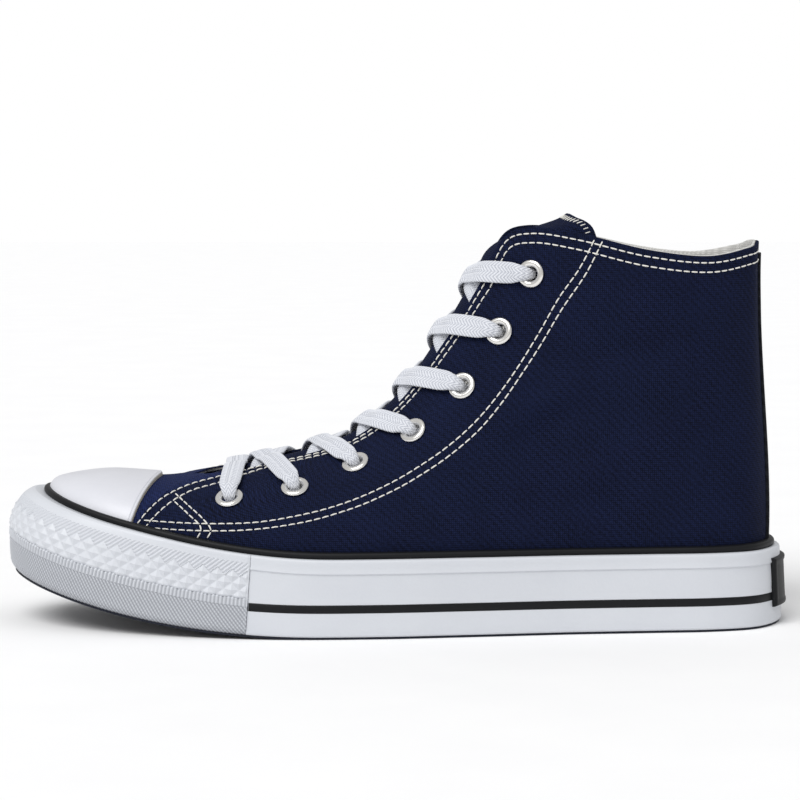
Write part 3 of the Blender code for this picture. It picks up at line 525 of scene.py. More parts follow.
canvas = woven("navy_cotton_canvas", "#070916", "#1a2344", 0.75, 0.3, 0.85, 0.18)
# The vamp is cut from the same canvas; its lighter colours are painted light, since it faces the light from
# above.
vamp_canvas_painted_light = woven("navy_cotton_canvas_vamp_painted_light", "#0c1128", "#253160", 0.75, 0.3, 0.82, 0.3)
lining_cloth = woven("white_cotton_lining", "#bcbbb8", "#e6e5e2", 0.9, 0.10, 0.9, 0.1, twill=0.1)
insole_cloth = woven("white_cotton_footbed", "#b6b3ac", "#dcd9d2", 0.9, 0.08, 0.9, 0.1, twill=0.0)
webbing = woven("black_cotton_webbing", "#0b0c10", "#202228", 1.1, 0.2, 0.75, 0.1, twill=0.6)

# %% [markdown]
# ## Moulded rubber
# The sidewall, bumper and toe cap are vulcanised natural rubber with white pigment: a dense, slightly cool
# white with a low gloss. Natural rubber has an index of refraction near 1.52. The mould leaves it faintly
# uneven, which breaks up its highlights. The piping, stripe and label are the same rubber with carbon black.

# %% Rubber
def rubber(name, colour, other, roughness, grain=0.9, unevenness=0.05, shine=0.5):
    """Moulded rubber with a fine grain, in millimetres, and soft low waves under it."""
    made, tree, shader = new_material(name)
    spot = in_millimetres(tree)
    fine = add(tree, "ShaderNodeTexNoise", {"Vector": spot, "Scale": 1 / grain, "Detail": 3.0}).outputs["Fac"]
    broad = add(tree, "ShaderNodeTexNoise", {"Vector": spot, "Scale": 0.07, "Detail": 2.0}).outputs["Fac"]
    both = add(tree, "ShaderNodeMix", {"Factor": 0.6, 2: fine, 3: broad}).outputs[0]
    surface(tree, shader, both, colour, other, both, 0.35, unevenness * 4)
    gloss = add(tree, "ShaderNodeMapRange", {"Value": fine, 3: roughness - 0.06, 4: roughness + 0.08})
    tree.links.new(gloss.outputs[0], shader.inputs["Roughness"])
    set_sockets(shader, {"IOR": 1.52, "Specular IOR Level": shine})
    return made


white_rubber = rubber("white_natural_rubber", "#c6c9d0", "#d0d3d8", 0.42)
cap_rubber = rubber("white_natural_rubber_cap", "#cdced5", "#d7d8de", 0.34, grain=1.4)
cream_rubber = rubber("cream_rubber_cut_edge", "#b5aea0", "#c8c2b4", 0.6)
black_rubber = rubber("carbon_black_rubber", "#0a0b0d", "#111216", 0.5, shine=0.22)
tread_rubber = rubber("navy_black_tread_rubber", "#0e111c", "#181d2e", 0.6, grain=0.6, unevenness=0.1,
                      shine=0.3)


# %% [markdown]
# ## Thread, lace and metal
# The stitches are a thick off-white cotton-wrapped thread: matte, with a little light through its fuzz. The
# laces are a flat tubular braid of white cotton. The eyelets are brass with a nickel plate, pressed and
# tumbled, so they are bright with soft blurred highlights. A metal keeps the default index of refraction.

# %% Thread, cotton braid and nickel
def plain_cotton(name, dark, light, grain):
    """Spun cotton: matte, with a fine fuzzy grain in millimetres."""
    made, tree, shader = new_material(name)
    spot = in_millimetres(tree)
    fuzz = add(tree, "ShaderNodeTexNoise", {"Vector": spot, "Scale": 1 / grain, "Detail": 4.0}).outputs["Fac"]
    surface(tree, shader, fuzz, dark, light, fuzz, 0.3, 0.1)
    set_sockets(shader, {"Roughness": 0.85, "Specular IOR Level": 0.3, "Sheen Weight": 0.25})
    return made


def braided(name, dark, light, pitch, column):
    """A flat braid: chevrons of yarn, this far apart and in columns this wide, in millimetres, with painted
    shade between the yarns.
    """
    made, tree, shader = new_material(name)
    cloth = add(tree, "ShaderNodeUVMap", uv_map="cloth").outputs["UV"]
    along, across, _ = add(tree, "ShaderNodeSeparateXYZ", {0: cloth}).outputs
    slant = add(tree, "ShaderNodeMath", {0: across, 1: column}, operation="PINGPONG").outputs[0]
    moved = add(tree, "ShaderNodeMath", {0: along, 1: slant}).outputs[0]
    yarn = add(tree, "ShaderNodeMath", {0: moved, 1: pitch / 2}, operation="PINGPONG").outputs[0]
    ridge = add(tree, "ShaderNodeMapRange", {"Value": yarn, 1: 0.0, 2: pitch / 2}).outputs[0]
    fuzz = add(tree, "ShaderNodeTexNoise", {"Vector": cloth, "Scale": 2.4, "Detail": 2.0}).outputs["Fac"]
    both = add(tree, "ShaderNodeMix", {"Factor": 0.3, 2: ridge, 3: fuzz}).outputs[0]
    # The colour follows the yarns' ridges: the dark colour is painted shade in the gaps between them.
    surface(tree, shader, both, dark, light, both, 0.8, 0.3)
    set_sockets(shader, {"Roughness": 0.85, "Specular IOR Level": 0.3, "Sheen Weight": 0.2})
    return made


thread = plain_cotton("off_white_cotton_thread", "#d0cec6", "#f3f1ea", 0.3)
BRAID_PITCH = 1.5  # millimetres between the yarns of the braid
BRAID_COLUMN = 2.1  # millimetres from one turn of its chevrons to the next
# Its dark colour is the painted shade between the yarns.
braid = braided("white_cotton_braid_painted_shade", "#a4a8b3", "#eef0f5", BRAID_PITCH, BRAID_COLUMN)


def plated_metal(name, colour, roughness):
    """Nickel plate, tumbled: bright, with fine scratches that blur its highlights."""
    made, tree, shader = new_material(name)
    spot = in_millimetres(tree)
    marks = add(tree, "ShaderNodeTexNoise", {"Vector": spot, "Scale": 2.2, "Detail": 5.0}).outputs["Fac"]
    gloss = add(tree, "ShaderNodeMapRange", {"Value": marks, 3: roughness - 0.08, 4: roughness + 0.1})
    tree.links.new(gloss.outputs[0], shader.inputs["Roughness"])
    bump = add(tree, "ShaderNodeBump", {"Height": marks, "Strength": 0.25, "Distance": 0.05 * MM})
    tree.links.new(bump.outputs["Normal"], shader.inputs["Normal"])
    set_sockets(shader, {"Base Color": linear(colour), "Metallic": 1.0})
    return made


nickel = plated_metal("nickel_plated_brass", "#eceae6", 0.22)

# %% [markdown]
# ## The sidewall
# A strip of rubber is wrapped round the sole by hand and cooked on. It has a raised strip at its top, a groove
# that holds the dark stripe, and a rounded lower edge. It is one profile swept round the outline, with small
# arcs at its corners, because a soft highlight along an edge is what says rubber.

# %% Sidewall and stripe
STRIPE_LOW = 9.7 * MM
STRIPE_HEIGHT = 3.0 * MM
STRIPE_DEPTH = 0.9 * MM
STRIP_STEP = 0.4 * MM
STRIP_HEIGHT = 5.4 * MM
BUMPER_WALL = 2.4 * MM
BUMPER_SHARE = 0.312
SEAM = 0.0006  # half the width of a bumper seam, as a part of the loop
ROUND_STEPS = 640


def under_bumper(loops):
    return share_of(loops) < BUMPER_SHARE


def sidewall_profile(loops):
    """Corners as (inset, height over the underside or, where marked, under the top)."""
    top = sidewall_top(loops)[:, None]
    low = FLANGE_DEPTH + 0.05 * MM
    high = STRIPE_LOW + STRIPE_HEIGHT
    round_foot = 1.0 * MM
    arc = np.radians([0, 30, 60, 90])
    foot = [(round_foot * (1 - math.sin(a)), low + round_foot * (1 - math.cos(a))) for a in arc]
    lip = 0.15 * MM
    lower = foot + [(0, 5 * MM), (0, STRIPE_LOW - lip), (lip, STRIPE_LOW), (STRIPE_DEPTH, STRIPE_LOW),
                    (STRIPE_DEPTH, high), (lip, high), (0, high + lip), (-0.1 * MM, 18 * MM)]
    step = STRIP_HEIGHT
    upper = [(0, step + 0.2 * MM), (-STRIP_STEP * 0.5, step), (-STRIP_STEP * 1.25, step - 0.3 * MM),
             (-STRIP_STEP * 1.25, step - 0.7 * MM), (-STRIP_STEP * 0.8, step - 1.1 * MM),
             (-STRIP_STEP, 2.2 * MM)]
    rim = 0.9 * MM
    upper += [(-STRIP_STEP + rim * (1 - math.cos(a)), rim * (1 - math.sin(a))) for a in arc]
    insets = [corner[0] for corner in lower + upper] + [SIDEWALL_WALL, SIDEWALL_WALL]
    count = len(loops)
    heights = [np.full((count, 1), corner[1]) for corner in lower]
    heights += [top - corner[1] for corner in upper] + [top, np.full((count, 1), low)]
    insets = np.repeat(np.array(insets)[None], count, 0)
    hidden = under_bumper(loops)[:, None]
    return np.where(hidden, np.maximum(insets, BUMPER_WALL), insets), np.concatenate(heights, 1)


seams = [float(loop_at(BUMPER_SHARE, side)) for side in SIDES.values()]
round_loops = np.linspace(0, 2, ROUND_STEPS, endpoint=False)
round_loops = np.array([loop for loop in round_loops if min(abs(loop - s) for s in seams) > 4 * SEAM])
round_loops = np.sort(np.concatenate([round_loops, *[[s - SEAM, s + SEAM] for s in seams]]))
band("sidewall_rubber", sidewall_profile, round_loops, True, white_rubber, ["sidewall"],
     sharp=32)


def stripe_profile(loops):
    ends = np.minimum(np.abs(loops - loops[0]), np.abs(loops[-1] - loops))[:, None]
    proud = -0.12 * MM * eased(ends / 0.002)
    high = STRIPE_LOW + STRIPE_HEIGHT
    soft = 0.35 * MM
    insets = np.concatenate([0.05 * MM + 0 * proud, proud, proud, 0.05 * MM + 0 * proud,
                             STRIPE_DEPTH + 0 * proud, STRIPE_DEPTH + 0 * proud], 1)
    heights = [STRIPE_LOW + 0.02 * MM, STRIPE_LOW + soft, high - soft, high - 0.02 * MM, high - 0.02 * MM,
               STRIPE_LOW + 0.02 * MM]
    return insets, np.repeat(np.array(heights)[None], len(loops), 0)


stripe_loops = np.linspace(seams[0] + 2.5 * SEAM, seams[1] - 2.5 * SEAM, ROUND_STEPS)
band("stripe_rubber", stripe_profile, stripe_loops, False, black_rubber, ["stripe"])

# %% [markdown]
# ## The piping
# A dark cord of rubber covers the line where the sidewall meets the upper. It reads as a ridge with a soft top,
# and it presses against the canvas, so it is drawn right up to it, and a little less deep beside the toe cap.

# %% Piping
PIPING_HEIGHT = 2.1 * MM
PIPING_FRONT = 1.3 * MM


def piping_profile(loops):
    top = sidewall_top(loops)[:, None]
    share = share_of(loops)[:, None]
    back = np.where(share < 0.14, 3.8 * MM, 4.65 * MM)
    height = PIPING_HEIGHT + GAP + 0.2 * MM * eased((share - 0.9) / 0.08)
    turns = np.radians([-90, -60, -30, 0, 30, 60, 90])
    half = height / 2
    insets = [PIPING_FRONT + 0.25 * MM + 0.95 * MM * (1 - math.cos(a)) + 0 * half for a in turns]
    heights = [top + half * (1 + math.sin(a)) for a in turns]
    return np.concatenate(insets + [back, back], 1), np.concatenate(heights + [top + height, top], 1)


band("piping_cord", piping_profile, np.linspace(0, 2, ROUND_STEPS, endpoint=False), True, black_rubber,
     ["piping"], sharp=55)

# %% [markdown]
# ## The toe bumper
# The front of the sole wears a thick moulded band. From the top it has a plain lip, slanted ribs that end in a
# zigzag, three rows of small pyramids, a groove, short upright ribs and a fine crossed hatching. All of that
# is real relief, so it is worked out as a height over the plain band, on a mesh that is fine enough for it.

# %% Relief of the bumper
BUMPER_PROUD = 0.5 * MM
BUMPER_OVERLAP = 0.0003  # how far its ends reach past the seams, as a part of the loop
TOE_BULGE = 6.2 * MM
TOE_BULGE_SHARE = 0.24
BULGE_SHAPE = (np.array([0.0, 0.3, 0.58, 0.8, 0.94, 1.0]), np.array([0.0, 0.64, 1.0, 0.89, 0.55, 0.25]))
HATCH_TOP = 11.5 * MM
RIB_TOP = 14.6 * MM
SLANT_TOP = 27.6 * MM
PYRAMID_WIDTH = 5.8 * MM
PYRAMID_HEIGHT = 5.2 * MM
PYRAMID_RELIEF = 0.95 * MM
SLANT_PITCH = 1.9 * MM
RIB_PITCH = 1.45 * MM
HATCH_PITCH = 1.1 * MM  # 0.8 mm on the real rubber, drawn coarser
BUMPER_STEP = 0.29 * MM
BUMPER_ROWS = 94


def bulge(loop, height):
    """How far the toe bumper swells out at this height."""
    share = np.minimum(1.0, height / sidewall_top(loop))
    fade = np.maximum(0.0, 1 - share_of(loop) / TOE_BULGE_SHARE) ** 1.5
    return TOE_BULGE * fade * smooth(*BULGE_SHAPE, share)


def saw(x):
    """A triangle wave from 0 to 1 and back, once for each whole number."""
    return 1 - np.abs(2 * (x - np.floor(x)) - 1)


def bumper_relief(along, height):
    """Height of the relief, along the band and over the underside."""
    falling = saw((0.75 * along + 0.66 * height) / HATCH_PITCH)
    climbing = saw((0.75 * along - 0.66 * height) / HATCH_PITCH)
    hatch = 0.42 * MM * falling * (0.4 + 0.6 * climbing) - 0.3 * MM
    rib = 0.45 * MM * saw(along / RIB_PITCH) - 0.15 * MM
    slide = along / PYRAMID_WIDTH
    climb = (height - RIB_TOP) / PYRAMID_HEIGHT
    pyramid = PYRAMID_RELIEF * np.minimum(saw(slide + climb), saw(slide - climb)) - 0.1 * MM
    slanted = 0.42 * MM * np.clip(saw((along - 1.1 * height) / SLANT_PITCH) * 1.7 - 0.3, 0, 1)
    zigzag = RIB_TOP + PYRAMID_HEIGHT * (1.5 + 0.5 * (1 - saw(slide)))
    relief = np.where(height < HATCH_TOP, hatch, rib)
    relief = np.where(height > RIB_TOP, pyramid, relief)
    relief = np.where(height > zigzag, slanted, relief)
    relief = np.where(height > SLANT_TOP, 0.3 * MM, relief)
    groove = -0.6 * MM * np.exp(-(((height - RIB_TOP) / (0.35 * MM)) ** 2))
    return relief + groove


def walked(points):
    """How far along a row of points each of them lies."""
    return np.concatenate([[0.0], np.cumsum(np.linalg.norm(np.diff(points, axis=0), axis=1))])


# %% [markdown]
# The finest ridges are hardly a pixel wide, and so are the shadows between them. So the bumper's rubber also
# gets painted shade: it is darker in those hollows and between the upright ribs. The material follows the same
# pitches as the mesh: its first UV value runs along the band and its second one up it, in millimetres.

# %% Rubber with painted shade in its hollows
def painted_shade_rubber(name, colour, other, painted_shade_colour):
    """White rubber with painted shade in the hollows of the fine hatching and between the upright ribs."""
    made = rubber(name, colour, other, 0.42)
    tree, shader = made.node_tree, made.node_tree.nodes["Principled BSDF"]
    spot = add(tree, "ShaderNodeUVMap", uv_map="cloth").outputs["UV"]
    half = HATCH_PITCH / MM / 2
    ridges = []
    for lean in (0.66, -0.66):
        slope = {0: spot, 1: (0.75, lean, 0)}
        level = add(tree, "ShaderNodeVectorMath", slope, operation="DOT_PRODUCT").outputs[1]
        ridge = add(tree, "ShaderNodeMath", {0: level, 1: half}, operation="PINGPONG").outputs[0]
        ridges.append(add(tree, "ShaderNodeMapRange", {"Value": ridge, 2: half}).outputs[0])
    softer = add(tree, "ShaderNodeMath", {0: ridges[1], 1: 0.5, 2: 0.5}, operation="MULTIPLY_ADD").outputs[0]
    crossed = add(tree, "ShaderNodeMath", {0: ridges[0], 1: softer}, operation="MULTIPLY").outputs[0]
    along, height, _ = add(tree, "ShaderNodeSeparateXYZ", {0: spot}).outputs
    below = add(tree, "ShaderNodeMath", {0: height, 1: HATCH_TOP / MM}, operation="LESS_THAN").outputs[0]
    depth = add(tree, "ShaderNodeMath", {0: 1.0, 1: crossed}, operation="SUBTRACT").outputs[0]
    hatching = add(tree, "ShaderNodeMath", {0: depth, 1: below}, operation="MULTIPLY").outputs[0]
    rib = add(tree, "ShaderNodeMath", {0: along, 1: RIB_PITCH / MM / 2}, operation="PINGPONG").outputs[0]
    rib_gap_shade = add(tree, "ShaderNodeMapRange", {"Value": rib, 2: RIB_PITCH / MM / 2, 3: 0.7, 4: 0.0}).outputs[0]
    ribbed = add(tree, "ShaderNodeMath", {0: height, 1: RIB_TOP / MM}, operation="LESS_THAN").outputs[0]
    between = add(tree, "ShaderNodeMath", {0: ribbed, 1: below}, operation="SUBTRACT").outputs[0]
    parts = {0: rib_gap_shade, 1: between, 2: hatching}
    # Painted shade: the colour goes towards the shade colour in the hatching's hollows and between the upright
    # ribs.
    shade = add(tree, "ShaderNodeMath", parts, operation="MULTIPLY_ADD").outputs[0]
    plain = shader.inputs["Base Color"].links[0].from_socket
    mixed = add(tree, "ShaderNodeMix", {"Factor": shade, 6: plain, 7: linear(painted_shade_colour)}, data_type="RGBA")
    tree.links.new(mixed.outputs[2], shader.inputs["Base Color"])
    return made


# The last colour is the painted shade of the bumper's hollows.
bumper_rubber_painted_shade = painted_shade_rubber("white_natural_rubber_bumper_painted_shade", "#c6c9d0", "#d0d3d8", "#888b92")


# %% Toe bumper
def make_bumper():
    start = seams[1] - 2 - BUMPER_OVERLAP
    end = seams[0] + BUMPER_OVERLAP
    turn = np.linspace(start, end, 3000)
    along = walked(sole_point(turn, 0.0, 15 * MM))
    even = np.linspace(0, along[-1], int(along[-1] / BUMPER_STEP))
    loops = np.interp(even, along, turn)
    middle_of_band = even - np.interp(0.0, turn, along)
    top = sidewall_top(loops)
    share = np.linspace(0, 1, BUMPER_ROWS)
    low = FLANGE_DEPTH + 0.05 * MM
    height = low + share[None] * (top[:, None] - low)
    scaled = height * (SIDEWALL_HEIGHT + TOE_RISE * 0.5) / top[:, None]
    relief = bumper_relief(middle_of_band[:, None], scaled)
    ends = np.minimum(even, even[-1] - even)[:, None]
    relief = relief * eased(ends / (1.2 * MM)) + 0.1 * MM
    foot = 1.8 * MM * np.maximum(0, 1 - (height - low) / (2.6 * MM)) ** 2
    rim = 0.7 * MM * np.maximum(0, 1 - (top[:, None] - height) / (0.9 * MM)) ** 2
    face = -BUMPER_PROUD - relief - bulge(loops[:, None], height) + foot + rim
    front = sole_point(loops[:, None], face, height)
    back = sole_point(loops[:, None], BUMPER_WALL - 0.05 * MM, height[:, [-1, 0]])
    rings = np.concatenate([front, back], 1)
    pattern = np.stack([np.broadcast_to(middle_of_band[:, None], scaled.shape), scaled], -1)
    pattern = np.concatenate([pattern, pattern[:, [-1, 0]]], 1) / MM
    faces = tube_faces(rings, False)
    add_piece("toe_bumper_rubber", rings, faces, bumper_rubber_painted_shade, ["toe_bumper"], cloth=pattern,
              sharp=24)


make_bumper()

# %% [markdown]
# ## The heel label
# A small rubber label is cooked onto the back of the heel. It stays plain here: a soft-edged plate with a
# raised border, a little thicker at the top where it curls off the sidewall.

# %% Heel label
LABEL_LOW = 7.1 * MM
LABEL_HEIGHT = 18.6 * MM
LABEL_WIDTH = 40 * MM
LABEL_WALL = 1.6 * MM


def make_label():
    turns = np.linspace(0.0, 0.5, 200)
    reach = np.abs(outline(1 - turns)[:, 1] - outline(1.0)[1])
    half = float(np.interp(LABEL_WIDTH / 2, reach, turns))
    loops = np.linspace(1 - half, 1 + half, 90)
    side = np.abs(np.linspace(-1, 1, 90))[:, None] * LABEL_WIDTH / 2
    up = np.linspace(0, 1, 48)[None] * LABEL_HEIGHT
    edge = np.minimum(LABEL_WIDTH / 2 - side, np.minimum(up, LABEL_HEIGHT - up))
    wall = LABEL_WALL * np.sqrt(np.clip(1 - (1 - edge / (0.7 * MM)).clip(0) ** 2, 0.06, 1))
    border = 0.3 * MM * eased((2.2 * MM - edge) / (0.5 * MM)) - 0.3 * MM
    lip = 0.25 * MM * eased((up - LABEL_HEIGHT + 2.5 * MM) / (2.5 * MM))
    front = sole_point(loops[:, None], -STRIP_STEP - wall - border - lip, LABEL_LOW + up)
    back = sole_point(loops[:, None], 0.1 * MM, LABEL_LOW + up)
    points, faces = grid_faces(front, back)
    add_piece("heel_label_rubber", points, faces, black_rubber, ["heel_label"])


make_label()

# %% [markdown]
# ## The outsole
# The tread shows only from below and as a thin dark line under the toe and heel. Its pattern is a plain field
# of diamonds inside a ribbed border, raised a millimetre. A grid that runs from side to side under the whole
# sole carries it, and the waist is hollowed as in the solid.

# %% Outsole with its tread
TREAD_DEPTH = 1.0 * MM
DIAMOND = 7.0 * MM
BORDER = 9.0 * MM
BORDER_RIBS = 4.2 * MM


def make_outsole():
    angles = np.linspace(0.004, 0.996, 300)
    outer = sole_point(angles, FLANGE_INSET, 0.0)
    inner = sole_point(2 - angles, FLANGE_INSET, 0.0)
    even = np.linspace(0, 1, 104)
    across = 0.65 * even + 0.35 * (1 - np.cos(even * math.pi)) / 2
    flat = outer[:, None] + (inner - outer)[:, None] * across[None, :, None]
    wide = np.linalg.norm(inner - outer, axis=1)[:, None]
    edge = np.minimum(across, 1 - across)[None] * wide
    ends = np.minimum(flat[..., 0] - flat[..., 0].min(), flat[..., 0].max() - flat[..., 0])
    edge = np.minimum(edge, ends)
    x, y = flat[..., 0], flat[..., 1]
    slope = 1.4
    falling, climbing = saw((x + slope * y) / DIAMOND / slope), saw((x - slope * y) / DIAMOND / slope)
    diamonds = eased(1.6 * np.minimum(falling, climbing) - 0.2)
    ribs = eased(3 * saw(x / BORDER_RIBS) - 0.8)
    rim = eased((2.4 * MM - edge) / (0.4 * MM))
    raised = np.where(edge > BORDER, diamonds, np.where(edge > BORDER - 1.2 * MM, 0, ribs))
    raised = np.maximum(raised, rim)
    share = x / SOLE_LENGTH + 0.5
    waist = WAIST_RELIEF * eased((share - WAIST_START) / WAIST_RUN) * eased((WAIST_END - share) / WAIST_RUN)
    waist = waist * eased((edge - 8 * MM) / (8 * MM))
    z, _ = ground(x)
    under = np.stack([x, y, z + TREAD_DEPTH * (1 - raised) + waist], -1)
    over = np.stack([x, y, z + np.where(edge > 5 * MM, OUTSOLE_DEPTH - 0.2 * MM, FLANGE_DEPTH)], -1)
    points, faces = grid_faces(under, over)
    add_piece("outsole_tread", points, faces, tread_rubber, ["outsole"], sharp=35)


make_outsole()


# %% [markdown]
# ## The insole
# Inside lies a footbed covered in white cotton. Its edge curls up a little where it meets the lining, and the
# heel and ball are pressed slightly hollow. Only its top and edge ever show, through the collar.

# %% Insole
def make_insole():
    angles = np.linspace(0.02, 0.98, 140)
    inside = SIDEWALL_WALL + FIT_GAP + QUARTER_WALL + 0.1 * MM
    low = OUTSOLE_DEPTH + GAP
    high = low + INSOLE_WALL
    outer = sole_point(angles, inside, high)
    inner = sole_point(2 - angles, inside, high)
    across = np.linspace(0, 1, 54)
    top = outer[:, None] + (inner - outer)[:, None] * across[None, :, None]
    wide = np.linalg.norm(inner - outer, axis=1)[:, None]
    edge = np.minimum(across, 1 - across)[None] * wide
    cup = 1.6 * MM * (1 - eased(edge / (14 * MM))) - 0.8 * MM
    round_off = 0.8 * MM * np.maximum(0, 1 - edge / (1.0 * MM)) ** 2
    top[..., 2] += cup - round_off
    base = top.copy()
    base[..., 2] = (sole_point(angles, inside, low)[:, 2])[:, None]
    cloth = np.stack([top[..., 0], top[..., 1]], -1) / MM
    points, faces = grid_faces(top, base)
    add_piece("footbed", points, faces, insole_cloth, ["insole"], cloth=cloth)


make_insole()

# %% [markdown]
# ## The upper
# The upper is cut from flat canvas: a vamp over the toes and a quarter on each side. The quarters lie over the
# vamp, so their front edge stands up as a small step. A white lining backs them all. Each panel is its own wall
# here, laid on the last at its own height, with a rounded top edge and real holes where the eyelets go.

# %% Eyelet places
EYELET_COUNT = 7
EYELET_LINE = ((6.91, .482), (7.6, .575), (8.3, .705), (9.3, .69), (10.3, .68), (11.5, .71), (12.85, .845))
EYELET_HOLE = 2.8 * MM


def eyelet_places(side):
    """Centres and outward directions of one side's eyelets, evenly spaced on their line."""
    line = np.array(EYELET_LINE)
    steps = np.linspace(0, len(line) - 1, 200)
    u, v = smooth(np.arange(len(line)), line, steps).T
    far = walked(last_point(side, u, v) + directions(side, u, v)[0] * QUARTER_WALL)
    at = np.interp(far[-1] * np.arange(EYELET_COUNT) / (EYELET_COUNT - 1), far, steps)
    u, v = smooth(np.arange(len(line)), line, at).T
    return skin(side, u, v, QUARTER_WALL), directions(side, u, v)[0]


EYELETS = {side: eyelet_places(side) for side in SIDES.values()}


def even_sections(start, end, apart):
    """Places between two sections, this far apart on the last where they spread most."""
    fine = np.linspace(start, end, 1200)
    rows = np.array([last_point(OUTER, fine, v) for v in (0.0, 0.4, 0.7, 1.0)])
    steps = np.linalg.norm(np.diff(rows, axis=1), axis=-1).max(axis=0)
    far = np.concatenate([[0.0], np.cumsum(steps)])
    return np.interp(np.linspace(0, far[-1], int(far[-1] / apart) + 2), far, fine)


def cloth_map(grid, origin_row):
    """UVs in millimetres: threads run level and upright, from one row that has no stretch."""
    run, climb = np.diff(grid, axis=0), np.diff(grid, axis=1)
    level = np.cumsum(np.hypot(run[..., 0], run[..., 1]), 0)
    level = np.concatenate([np.zeros((1, grid.shape[1])), level])
    upright = np.cumsum(np.hypot(climb[..., 1], climb[..., 2]), 1)
    upright = np.concatenate([np.zeros((len(grid), 1)), upright], 1)
    return np.stack([level - level[origin_row], upright], -1) / MM


def clear_of_eyelets(middles, side, wider):
    """Which cells of a grid are kept, with round gaps at one side's eyelets, wider than the holes."""
    kept = np.ones(middles.shape[:2], bool)
    for centre in EYELETS[side][0]:
        kept &= np.linalg.norm(middles - centre, axis=-1) > EYELET_HOLE + wider
    return kept


EDGE_TURNS = np.radians([25, 50, 75])


def edge_columns(heights, back, front, top_rise=0.0):
    """Columns of a wall: heights, then a rounded top. Gives v, and offset and rise for face and back."""
    radius = (front - back) / 2
    v = np.concatenate([heights, np.ones(len(EDGE_TURNS))])
    flat = np.zeros(len(heights))
    inward = np.concatenate([flat, radius * (1 - np.cos(EDGE_TURNS))])
    rise = np.concatenate([flat, radius * np.sin(EDGE_TURNS) - radius * 0.6 + top_rise])
    return v, inward, rise


WALL_HEIGHTS = np.concatenate([np.linspace(-0.6, 0, 5)[:-1], np.linspace(0, 1, 96)])

# %% [markdown]
# The front edge of each quarter starts low beside the toe cap and climbs in a curve to the throat. It is given
# as a place between the sections for each height on them.

# %% Quarters
QUARTER_EDGE = np.array([(0.0, 3.15), (0.16, 3.75), (0.34, 4.7), (0.45, 5.4), (0.56, 5.85), (0.7, 6.1),
                         (0.85, 6.4), (1.0, 6.9)])  # height on the section, section
LINING_FACE = 1.1 * MM
CANVAS_BACK = 1.15 * MM
QUARTER_STEP = 1.55 * MM  # length of its mesh's cells
OVER_VAMP, OVER_VAMP_RUN = 6.8, 1.2  # section behind which it comes down beside the vamp, over how many


def quarter_sections(v):
    """Places for each column of a quarter, from its front edge to the heel."""
    u = even_sections(place("quarter_front"), HEEL, QUARTER_STEP)
    u = np.concatenate([[6.0, 6.012, 6.03, 6.05], u[u > 6.06]])[:, None]
    shift = np.interp(np.clip(v, 0, 1), *QUARTER_EDGE.T)[None] - 6.0
    return u + shift * (1 - eased((u - 6) / 2.2))


def make_quarter(label, side):
    v, inward, rise = edge_columns(WALL_HEIGHTS, CANVAS_BACK, QUARTER_WALL)
    u = quarter_sections(v)
    over_vamp = 1 - eased((u - OVER_VAMP) / OVER_VAMP_RUN)
    back = CANVAS_BACK + (VAMP_WALL + 0.05 * MM - CANVAS_BACK) * over_vamp
    from_edge = np.linalg.norm(last_point(side, u, v[None]) - last_point(side, u[:1], v[None]), axis=-1)
    rounding = 0.5 * MM * (1 - np.sqrt(np.clip(1 - (1 - from_edge / (0.6 * MM)).clip(0) ** 2, 0, 1)))
    front = skin(side, u, v[None], QUARTER_WALL - inward[None] - rounding, rise[None])
    rear = skin(side, u, v[None], back + inward[None], rise[None])
    kept = clear_of_eyelets((front[:-1, :-1] + front[1:, 1:]) / 2, side, 0.6 * MM)
    points, faces = grid_faces(front, rear, kept=kept)
    replaced = ["upper"] if side == OUTER else []
    add_piece(f"quarter_{label}", points, faces, canvas, replaced,
              cloth=cloth_map(front, -1), sharp=60)


for label, side in SIDES.items():
    make_quarter(label, side)


# %% Vamp and lining
THROAT_TURN = 0.35  # sections without rows behind the throat's closed end
THROAT_STEP = 1.3 * MM  # how much lower than the canvas the lining ends along the throat
THROAT_EASE = 0.15  # sections over which it goes down to that
CORNER_START, CORNER_RUN = 13.4, 1.4  # the section behind which it comes up again, and over how many
RIM_START = 4.5  # the section behind which it has a rounded rim


def both_sides(us, v, make):
    """Rows of points from the outer side round the toe to the inner side."""
    outer = make(OUTER, us[::-1][:, None], v[None])
    inner = make(INNER, us[1:][:, None], v[None])
    return np.concatenate([outer, inner])


def vamp_rows(end, apart):
    """Places of a sheet that is closed over the toes; none lies in the turn at the throat's very end."""
    us = even_sections(0.0, end, apart)
    closed = place("vamp_end")
    return np.unique(np.concatenate([us[(us < closed) | (us > closed + THROAT_TURN)], [closed]]))


def ridge_rows(us):
    """Pairs of rows that meet on the ridge, where the throat is closed."""
    last = len(us) - 1
    return [(last - i, last + i) for i in range(1, last + 1) if us[i] <= place("vamp_end")]


def make_vamp():
    us = vamp_rows(7.2, 1.4 * MM)
    v = WALL_HEIGHTS[::2]
    front = both_sides(us, v, lambda side, u, v: skin(side, u, v, VAMP_WALL))
    back = both_sides(us, v, lambda side, u, v: skin(side, u, v, LINING_FACE + 0.02 * MM))
    points, faces = grid_faces(front, back, joined=ridge_rows(us))
    cloth = np.stack([front[..., 0], np.abs(cloth_map(front, 0)[..., 1]) * MM], -1) / MM
    # The vamp's canvas carries painted light on the top of the foot.
    add_piece("vamp_canvas_painted_light", points, faces, vamp_canvas_painted_light, cloth=cloth, sharp=60)


make_vamp()


